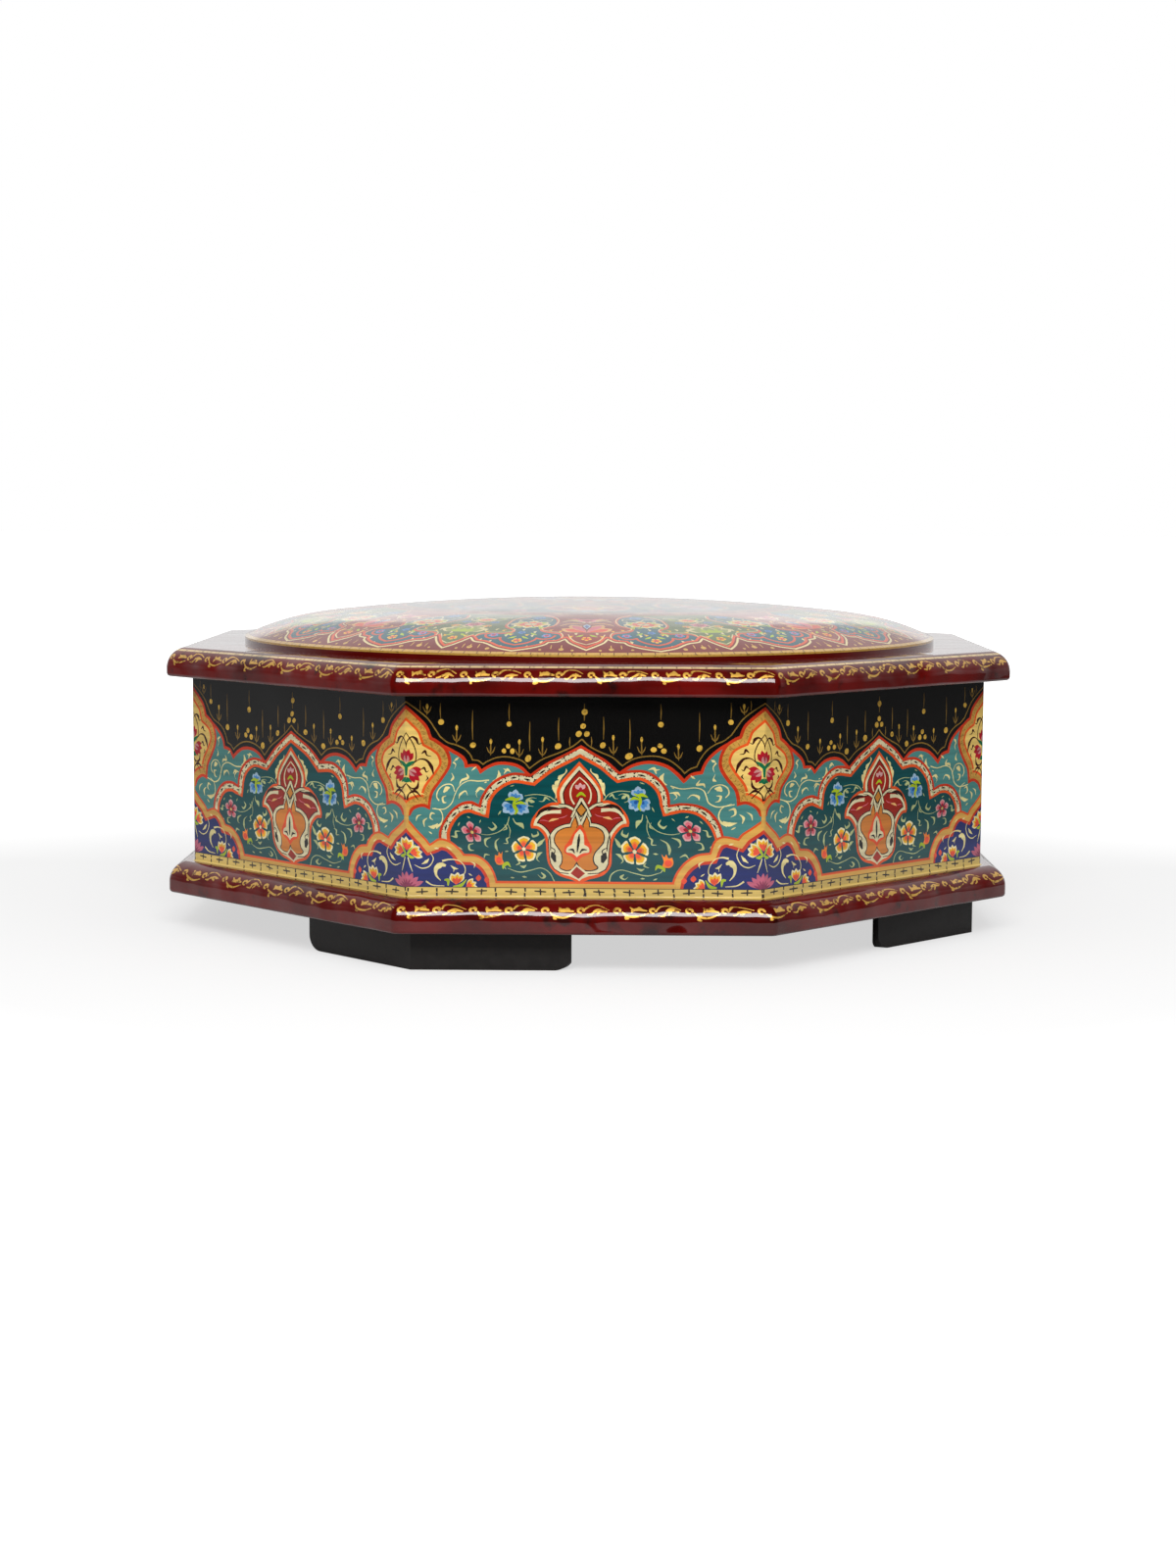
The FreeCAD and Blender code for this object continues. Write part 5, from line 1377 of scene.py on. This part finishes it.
for k in range(8):
    whole_lobe = whole(lobe * (1, -1))
    for depth, paint in ((0, "line"), (0.8, "line_red"), (1.7, "field_b" if k % 2 else "field_a")):
        DOME.append((spun(inset(whole_lobe, depth) if depth else turned(whole_lobe), 45 * k), paint))
for angle, kinds in ((0, (ORANGE, PINK)), (45, (PINK, ORANGE))):
    for radius, size, layers in ((52, 6.2, kinds[0]), (43, 3.2, kinds[1]), (59.4, 2.2, BLUE)):
        for outline, paint in flower(*spot(angle, radius), size, layers[-3::2], 6, start=angle - 90,
                                     points=6):
            round_dome(outline, paint, both=False, copies=4)
for a, r, size in ((8, 49, 2.1), (37, 49, 2.1), (5.2, 57, 1.7), (39.8, 57, 1.7)):
    for k in range(8):
        DOME += flower(*spot(a + 45 * k, r), size, (BLUE if r > 50 else ORANGE)[:2], 5, points=5)
for lean in (-1, 1):
    for k in range(8):
        for points, widths, paint in (
                (((0, 46), (3.5 * lean, 45), (6.5 * lean, 47), (9 * lean, 52)), (0.5, 0.7, 0.6, 0.2), "line"),
                (((4 * lean, 45.2), (6.6 * lean, 43.4), (5.4 * lean, 41)), (0.3, 1.2, 0.3), "leaf"),
                (((2 * lean, 56.6), (4.4 * lean, 59.8), (6 * lean, 58.4)), (0.3, 0.9, 0.2), "line")):
            DOME.append((spun(stroke(polar(points), *widths, per=3), 45 * k), paint))
for k in range(8):
    a = 22.5 + 45 * k
    DOME += flower(*spot(a, 60.4), 3.0, PINK[:2], 5, start=a - 90, points=5)
    DOME += flower(*spot(a, 37.6), 3.6, ORANGE[1:3], 5, start=a - 90, points=5)
    for lean in (-1, 1):
        stem = polar([(a, 57), (a + 2.4 * lean, 50), (a + 1 * lean, 44)])
        DOME.append((stroke(stem, 0.3, 0.9, 0.3), "line"))
        DOME.append((stroke(polar([(a, 52), (a + 3.4 * lean, 53.4)]), 0.3, 1.5, 0.3), "leaf"))
for radius, paint in ((33, "dome_gold"), (32.2, "line_red"), (31.2, "middle_red")):
    DOME.append((full_circle(radius, 96), paint))
for count, inner, outer, width, paints in ((16, 19, 30.4, 5.6, ("line", "line_red", "flame")),
                                           (16, 9, 22.4, 4.6, ("line", "pale_blue", "lilac")),
                                           (8, 3, 13.6, 5.2, ("line", "yellow", "vermilion"))):
    for k in range(count):
        turn_by = 360 / count * (k + (0.5 if outer < 25 else 0))
        for share, paint in zip((1.0, 0.8, 0.5), paints):
            x, y = spot(turn_by, inner)
            DOME.append((petal(x, y, turn_by - 90, (outer - inner) * share, width * share, 0.62, 7), paint))
DOME += [(full_circle(4.4, 40), "dome_gold"), (full_circle(3.6, 40), "middle_red"),
         (dot(0, 0, 1.6), "dome_gold")]
print("with crown:", len(DOME), "shapes")

# %% [markdown]
# The margin is painted last, over the ends of the fields. It is a red ring with a lobed inner edge and gold
# dots, and a gold band with ticks runs along the rim.

# %% Margin of the dome
edge_line = through([(0, 119), (1.5, 116.6), (2.9, 113.9), (3.5, 111.4)],
                    [(3.5, 111.4), (4.4, 113.3), (5.9, 113.9)],
                    [(5.9, 113.9), (6.5, 115.7), (8.5, 118), (11.25, 119.8)],
                    [(11.25, 119.8), (13.9, 118), (15.6, 115.7), (16.6, 114.6)],
                    [(16.6, 114.6), (18.3, 113.7), (19.3, 111.2)],
                    [(19.3, 111.2), (20.1, 113.9), (21.2, 116.7), (22.5, 119)], per=5)
outer_edge = closed_ring(edge_line)
for depth, paint in ((2.1, "line_red"), (1.25, "dome"), (0.7, "line"), (0, "dome")):
    DOME.append((margin(inset(outer_edge, depth) if depth else outer_edge), paint))
for a, r, size in ((3.8, 118.2, 0.85), (7, 118.5, 0.5), (15.2, 118.3, 0.75), (18.2, 117.4, 0.95),
                   (2.1, 118.8, 0.5), (20.2, 118.4, 0.5)):
    round_dome(dot(*spot(a, r), size, 9), "dome_gold")
for a in (5.4, 16.8, 19.3, 3.8, 18.2):
    dome_stroke([(a, 118), (a, 115.4)], 0.2, 0.4, 0.2, paint="dome_gold")
DOME.append((margin(full_circle(DOME_OUT - 1.35, 200)), "dome_gold"))
RIM_TICKS = 176
tick = ribbon(np.array([(0, -DOME_OUT - 0.1), (0.05, -DOME_OUT + 1.3)]), 0.28)
DOME += [(spun(tick, 360 / RIM_TICKS * k), "rim_tick") for k in range(RIM_TICKS)]
print("dome:", len(DOME), "shapes")

# %% [markdown]
# The dome's mesh is the flat painting, lifted to its height. The painting repeats round the dome, so a
# quarter of it is triangulated and turned four times. The crown is painted in deeper tones.

# %% Dome mesh
# width and rise of the shoulder, rise of the crown and height of the upright rim, in millimetres
SHOULDER_WIDE, SHOULDER_RISE, CROWN_RISE, RIM_HIGH = 26.5, 7.7, 5.3, 2.0
CROWN_TONE = 0.6
BOARD_TOP = lid_high[2]


def dome_height(r):
    """Height above the lid board and slope of the crown arc and the shoulder arc tangent to it."""
    begin = DOME_OUT - SHOULDER_WIDE
    crown = (begin ** 2 + CROWN_RISE ** 2) / (2 * CROWN_RISE)
    middle_z = RIM_HIGH + SHOULDER_RISE + CROWN_RISE - crown
    normal = np.array([begin, RIM_HIGH + SHOULDER_RISE - middle_z]) / crown
    span = np.array([DOME_OUT, RIM_HIGH]) - np.array([begin, RIM_HIGH + SHOULDER_RISE])
    shoulder = -span @ span / (2 * span @ normal)
    hub = np.array([begin, RIM_HIGH + SHOULDER_RISE]) - normal * shoulder
    inner = r < begin
    z = np.where(inner, middle_z + np.sqrt(np.maximum(crown ** 2 - r ** 2, 0)),
                 hub[1] + np.sqrt(np.maximum(shoulder ** 2 - (r - hub[0]) ** 2, 0)))
    lean = np.where(inner, r / crown, (r - hub[0]) / shoulder)
    return z, lean


def near_quarter(outline):
    """True where an outline reaches into the front quarter, 45 degrees to each side of the front."""
    x, y = outline.T
    return bool((-y > np.abs(x) - 8).any())


def build_dome(shapes, draw):
    """The painted cap, an upright rim below it and a level underside that rests in the lid board. A quarter
    is triangulated and turned four times; its two edges mirror each other, so their points are shared."""
    sides = 64
    a = np.radians(np.linspace(-45, 45, sides + 1))
    arc = np.stack([np.sin(a), -np.cos(a)], 1)
    quarter = np.vstack([arc * DOME_OUT, [(0, 0)]])
    guides = [arc[::2] * r for r in np.r_[25, 50, 75, np.linspace(93, DOME_OUT - 2, 9)]]
    shapes = [shape for shape in shapes if near_quarter(shape[0])]
    flat, triangles, owner = triangulate(shapes, quarter, guides)
    paints = paint_of(shapes, owner, "dome", draw)
    radius = np.linalg.norm(flat, axis=1)
    bearing = np.degrees(np.arctan2(flat[:, 0], -flat[:, 1]))
    first = np.flatnonzero((np.abs(bearing + 45) < 1e-3) & (radius > 0.01))
    last = np.flatnonzero((np.abs(bearing - 45) < 1e-3) & (radius > 0.01))
    n = len(flat)
    same = np.arange(4 * n).reshape(4, n)
    for k in last:
        partner = first[np.argmin(np.abs(radius[first] - radius[k]))]
        if abs(radius[partner] - radius[k]) < 0.01:
            same[:, k] = np.roll(same[:, partner], -1)
    same[:, radius < 0.01] = same[0, radius < 0.01]
    flat = np.vstack([spun(flat, 90 * k) for k in range(4)])
    triangles = np.vstack([row[triangles] for row in same])
    paints = np.tile(paints, (4, 1))
    kept = np.array([len(set(t)) == 3 for t in triangles.tolist()])
    triangles, paints = triangles[kept], paints[kept]
    used, index = np.unique(triangles, return_inverse=True)
    flat, triangles = flat[used], index.reshape(-1, 3)
    in_crown = np.linalg.norm(flat[triangles].mean(1), axis=1) < CROWN_OUT
    paints[:, :3] *= np.where(in_crown, CROWN_TONE, 1.0)[:, None]
    radius = np.linalg.norm(flat, axis=1)
    z, lean = dome_height(radius)
    edge_points = np.flatnonzero(radius > DOME_OUT * np.cos(np.pi / sides / 4) - 1e-3)
    loop = edge_points[np.argsort(np.arctan2(flat[edge_points, 1], flat[edge_points, 0]))]
    n, k = len(flat), len(loop)
    rings = [np.hstack([flat[loop], np.full((k, 1), height)]) for height in (BOARD_TOP + 1.35, dome_low[2])]
    verts = np.vstack([np.hstack([flat, (BOARD_TOP + z)[:, None]])] + rings) * MM
    levels = [loop, n + np.arange(k), n + k + np.arange(k)]
    walls = [np.stack([up, low, np.roll(low, -1), np.roll(up, -1)], 1).tolist()
             for up, low in zip(levels[:-1], levels[1:])]
    every = triangles.tolist() + walls[0] + walls[1] + [levels[2][::-1].tolist()]
    mesh = bpy.data.meshes.new("painted_dome")
    mesh.from_pydata(verts.tolist(), [], every)
    gold = np.array([*linear(PAINTS["dome_gold"])[:3], 0.9])
    colour_mesh(mesh, np.vstack([paints, np.tile(gold, (k, 1))]), len(triangles) + k,
                linear(PAINTS["lid_edge"])[:3] + (0,))
    way = flat / np.maximum(radius, 1e-6)[:, None]
    normal = np.hstack([way * lean[:, None], np.sqrt(1 - lean ** 2)[:, None]])
    plan_uv = flat / DOME_OUT * 0.42 + (0.43, 0.57)
    around = np.linspace(0.02, 0.98, k + 1)
    rest_uv = []
    for top, bottom in ((0.12, 0.09), (0.07, 0.02)):
        for i in range(k):
            rest_uv.append(np.array([(around[i], top), (around[i], bottom), (around[i + 1], bottom),
                                     (around[i + 1], top)]))
    rest_uv.append(flat[loop][::-1] / DOME_OUT * 0.05 + (0.93, 0.2))
    shade_and_map(mesh, normal[triangles].reshape(-1, 3), [plan_uv[triangles].reshape(-1, 2)] + rest_uv)
    show("painted_dome", mesh, dome_finish, "lid", "lid_dome")
    return len(every)


dome_finish = painted_lacquer("dome_gouache_under_varnish", (60, 60, 60), 0.1)
print("dome:", build_dome(DOME, np.random.default_rng(11)), "faces")

# %% [markdown]
# The floor is lined with red felt, cut to the octagon. Felt is matted wool: its surface is a fine nap with
# short fibres lying every way, so it has no weave and scatters light widely.

# %% Felt lining
felt_low, felt_high = corners("floor_lining")
felt_out = felt_high[1]
felt, tree = new_material("wool_felt")
place = add(tree, "TexCoord").outputs["Object"]
nap = add(tree, "TexNoise", {"Vector": place, "Scale": 900.0, "Detail": 4.0})
mottle = add(tree, "TexNoise", {"Vector": place, "Scale": 70.0, "Detail": 3.0})
share = add(tree, "Math", {0: nap, 1: mottle}, operation="MULTIPLY")
tone = add(tree, "MixRGB", {"Fac": share, "Color1": linear("#4a0a10"),
                            "Color2": linear("#8a1c22")})
bump = add(tree, "Bump", {"Height": nap, "Strength": 0.5, "Distance": 0.0004})
wool = add(tree, "BsdfPrincipled", {"Base Color": tone, "Roughness": 0.95,
                                    "Specular IOR Level": 0.1, "Sheen Weight": 0.5, "Sheen Roughness": 0.4,
                                    "Normal": bump})
last(tree, wool)


def felt_sheet():
    """Octagonal felt, with its upper edge softened as scissors leave it."""
    edge = np.array([(felt_out * SLOPE, -felt_out)])
    plan = np.vstack([spun(edge, 45 * k) for k in range(8)])
    rings, bottom, top = [], felt_low[2], felt_high[2]
    for inward, z in ((0, bottom), (0, top - 0.5), (0.15, top - 0.15), (0.5, top), (6, top)):
        rings.append(np.hstack([plan * (1 - inward / felt_out), np.full((8, 1), z)]))
    verts = np.vstack(rings) * MM
    k = np.arange(8)
    faces = [np.stack([8 * i + k, 8 * i + (k + 1) % 8, 8 * i + 8 + (k + 1) % 8, 8 * i + 8 + k], 1).tolist()
             for i in range(len(rings) - 1)]
    mesh = bpy.data.meshes.new("felt_lining")
    top_loop = (k + 8 * (len(rings) - 1)).tolist()
    mesh.from_pydata(verts.tolist(), [], sum(faces, []) + [k[::-1].tolist(), top_loop])
    return mesh


felt_piece = show("felt_lining", felt_sheet(), felt, "box", "floor_lining")

# %% [markdown]
# The feet are blackened wood, rubbed smooth by use: a soft sheen with no varnish. Their edges are worn, so
# each foot is the frame's block with its edges bevelled.

# %% Feet
foot_black, tree = new_material("black_worn_paint_on_wood")
place = add(tree, "TexCoord").outputs["Object"]
grain = add(tree, "TexNoise", {"Vector": place, "Scale": 260.0, "Detail": 5.0})
tone = add(tree, "MixRGB", {"Fac": grain, "Color1": linear("#151413"),
                            "Color2": linear("#2f2c2b")})
rough = add(tree, "MapRange", {"Value": grain, "To Min": 0.3, "To Max": 0.5})
bump = add(tree, "Bump", {"Height": grain, "Strength": 0.15, "Distance": 0.0005})
shader = add(tree, "BsdfPrincipled", {
    "Base Color": tone, "Roughness": rough,
    "Specular IOR Level": 0.25, "Normal": bump})
last(tree, shader)
for name in [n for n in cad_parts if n.startswith("foot_") and n != "foot_screws"]:
    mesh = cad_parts[name].data.copy()
    work = bmesh.new()
    work.from_mesh(mesh)
    bmesh.ops.remove_doubles(work, verts=work.verts, dist=1e-6)
    bmesh.ops.dissolve_limit(work, angle_limit=np.radians(2), verts=work.verts, edges=work.edges)
    sharp = [edge for edge in work.edges if len(edge.link_faces) == 2 and edge.calc_face_angle() > 0.6]
    bmesh.ops.bevel(work, geom=sharp, offset=0.0007, segments=3, affect="EDGES", profile=0.6,
                    clamp_overlap=True)
    work.to_mesh(mesh)
    work.free()
    mesh.materials.clear()
    mesh.shade_smooth()
    mesh.set_sharp_from_angle(angle=np.radians(35))
    show(name + "_worn", mesh, foot_black, "box", name)
print("feet dressed")

# %% [markdown]
# The lips keep the lid in place. They have plain red lacquer, and pins and screws are steel. Their shapes in
# the frame are right already, so only the material is new. Real scratches are too fine to show, so the
# steel's are drawn 0.4 mm apart.

# %% Lips, pins and screws
inside_red, tree = new_material("plain_red_lacquer")
place = add(tree, "TexCoord").outputs["Object"]
cloud = add(tree, "TexNoise", {"Vector": place, "Scale": 60.0, "Detail": 4.0})
tone = add(tree, "MixRGB", {"Fac": cloud, "Color1": linear("#3c0605"),
                            "Color2": linear("#7c1611")})
bump = add(tree, "Bump", {"Height": cloud, "Strength": 0.2, "Distance": 0.001})
varnish(tree, tone, 0.5, 0.0, bump, bump, 0.1)

steel, tree = new_material("brushed_steel")
place = add(tree, "TexCoord").outputs["Object"]
scratch = add(tree, "TexNoise", {"Vector": place, "Scale": 2500.0, "Detail": 3.0})
rough = add(tree, "MapRange", {"Value": scratch, "To Min": 0.25, "To Max": 0.45})
shader = add(tree, "BsdfPrincipled", {"Base Color": linear("#b8b6b2"), "Metallic": 1.0,
                                      "Roughness": rough})
last(tree, shader)

FINISHES = {"wall_pins": steel, "foot_screws": steel}
for name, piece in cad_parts.items():
    finish = inside_red if name.startswith("lip_") else FINISHES.get(name)
    if finish:
        piece.data.materials.clear()
        piece.data.materials.append(finish)
print("lips, pins and screws dressed")

# %% [markdown]
# The box stands on white paper. Varnish mirrors the paper, so what glossy rays meet is set apart from what
# the camera sees:
# to them the floor is a painted reflection, bright only near the box, dark farther ahead of it and dimmer far
# to the sides, most on the right. To the camera it is white by a little light of its own, and it keeps the
# shadow in front; behind the box that light is stronger, a painted light that hides the shadow there. Near
# the box its colour to the camera is darker, a painted shade that broadens the shadow.

# %% Floor
floor_mesh = bpy.data.meshes.new("floor")
floor_mesh.from_pydata([(-6, -3, 0), (6, -3, 0), (6, 9, 0), (-6, 9, 0)], [], [(0, 1, 2, 3)])
floor = bpy.data.objects.new("floor", floor_mesh)
bpy.context.scene.collection.objects.link(floor)
floor_paper, tree = new_material("white_paper_sweep")
path = add(tree, "LightPath")
ground = add(tree, "NewGeometry")
place = add(tree, "SeparateXYZ", {"Vector": ground.outputs["Position"]})
# painted reflection for glossy rays: the paper is bright near the box, dark ahead of it, dimmer far left and
# more so far right
ahead = add(tree, "MapRange", {"Value": place.outputs["Y"], "From Min": -0.5, "From Max": -0.4,
                               "To Min": 0.05, "To Max": 1.0})
left = add(tree, "MapRange", {"Value": place.outputs["X"], "From Min": -0.6, "From Max": -0.4,
                              "To Min": 0.5, "To Max": 0.8})
painted_dim_right = add(tree, "MapRange", {"Value": place.outputs["X"], "From Min": 0.35, "From Max": 0.5,
                                   "To Min": 1.0, "To Max": 0.2})
sideways = add(tree, "Math", {0: left, 1: painted_dim_right}, operation="MULTIPLY")
near = add(tree, "Math", {0: ahead, 1: sideways}, operation="MULTIPLY")
away = add(tree, "VectorMath", {0: ground.outputs["Position"]}, operation="LENGTH")
# painted shade: to the camera the paper is darker near the box, which broadens the shadow there
camera_tone_with_painted_shade = add(tree, "MapRange", {"Value": away.outputs["Value"], "From Min": 0.25, "From Max": 0.9,
                              "To Min": 0.36, "To Max": 0.95})
painted_reflection_tone = add(tree, "Mix", {0: path.outputs["Is Glossy Ray"], 2: 0.35, 3: near})
tone = add(tree, "Mix", {0: path.outputs["Is Camera Ray"], 2: painted_reflection_tone, 3: camera_tone_with_painted_shade})
shade = add(tree, "CombineColor", {"Red": tone, "Green": tone, "Blue": tone})
paper = add(tree, "BsdfDiffuse", {"Color": shade})
# painted light: behind the box the paper glows more to the camera, so no shadow shows there
painted_glow_behind = add(tree, "MapRange", {"Value": place.outputs["Y"], "From Min": 0.1, "From Max": 0.5,
                                    "To Min": 0.62, "To Max": 1.0})
glow = add(tree, "Math", {0: path.outputs["Is Camera Ray"], 1: painted_glow_behind}, operation="MULTIPLY")
lift = add(tree, "Emission", {"Color": (1, 1, 1, 1), "Strength": glow})
both = add(tree, "AddShader", {0: paper, 1: lift})
last(tree, both)
floor_mesh.materials.append(floor_paper)
print("floor laid")

# %% [markdown]
# To the camera the room is white. Glossy rays meet one that is bright behind the box and dark in front,
# which lays a pale veil on the dome and leaves the black deep. All other light comes softly from above.

# %% White room
world = bpy.data.worlds.new("studio")
bpy.context.scene.world = world
world.use_nodes = True
tree = world.node_tree
tree.nodes.clear()
tree.nodes.new("ShaderNodeOutputWorld").name = "out"
path = add(tree, "LightPath")
way = add(tree, "SeparateXYZ", {"Vector": add(tree, "TexCoord").outputs["Generated"]})
behind = add(tree, "MapRange", {"Value": way.outputs["Y"], "From Min": -0.2, "From Max": 0.7,
                                "To Min": 0.01, "To Max": 1.25}, interpolation_type="SMOOTHSTEP")
room = add(tree, "ValToRGB", {"Fac": way.outputs["Z"]})
# for a glossy ray: how steeply it rises, and how bright the room is there
ROOM = ((0.0, 0.66), (0.1, 0.78), (0.165, 0.92), (0.185, 0.92), (0.24, 0.58), (0.32, 0.56), (0.5, 0.8),
        (0.9, 0.88))
for k, (height_there, light_there) in enumerate(ROOM):
    stop = room.color_ramp.elements[k] if k < 2 else room.color_ramp.elements.new(height_there)
    stop.position, stop.color = height_there, (light_there, light_there, light_there, 1)
    if k == 0:
        room.color_ramp.elements[1].position = 1.0
glossy = add(tree, "Math", {0: behind, 1: room}, operation="MULTIPLY")
overhead = add(tree, "MapRange", {"Value": way.outputs["Z"], "From Min": 0.0, "From Max": 1.0,
                                  "To Min": 0.05, "To Max": 0.8})
soft = add(tree, "Mix", {0: path.outputs["Is Glossy Ray"], 2: overhead, 3: glossy})
level = add(tree, "Mix", {0: path.outputs["Is Camera Ray"], 2: soft, 3: 1.0})
sky = add(tree, "Background", {"Color": (1, 1, 1, 1), "Strength": level})
last(tree, sky)
print("room set in", len(ROOM), "steps of light")

# %% [markdown]
# One softbox stands in front and above. The rounded rims mirror it as a strip of light.

# %% Softbox
def softbox(name, stand, aim, wide, high, power):
    """An area lamp that faces a point."""
    lamp = bpy.data.lights.new(name, "AREA")
    lamp.shape = "RECTANGLE"
    lamp.size, lamp.size_y, lamp.energy = wide, high, power
    holder = bpy.data.objects.new(name, lamp)
    way_to = Vector(aim) - Vector(stand)
    holder.matrix_world = Matrix.Translation(stand) @ way_to.to_track_quat("-Z", "Y").to_matrix().to_4x4()
    bpy.context.scene.collection.objects.link(holder)


softbox("front_softbox", (0.0, -0.95, 0.65), (0, -0.14, 0.08), 0.6, 0.32, 8.2)
bpy.context.scene.view_settings.view_transform = "Standard"
print("softbox set")
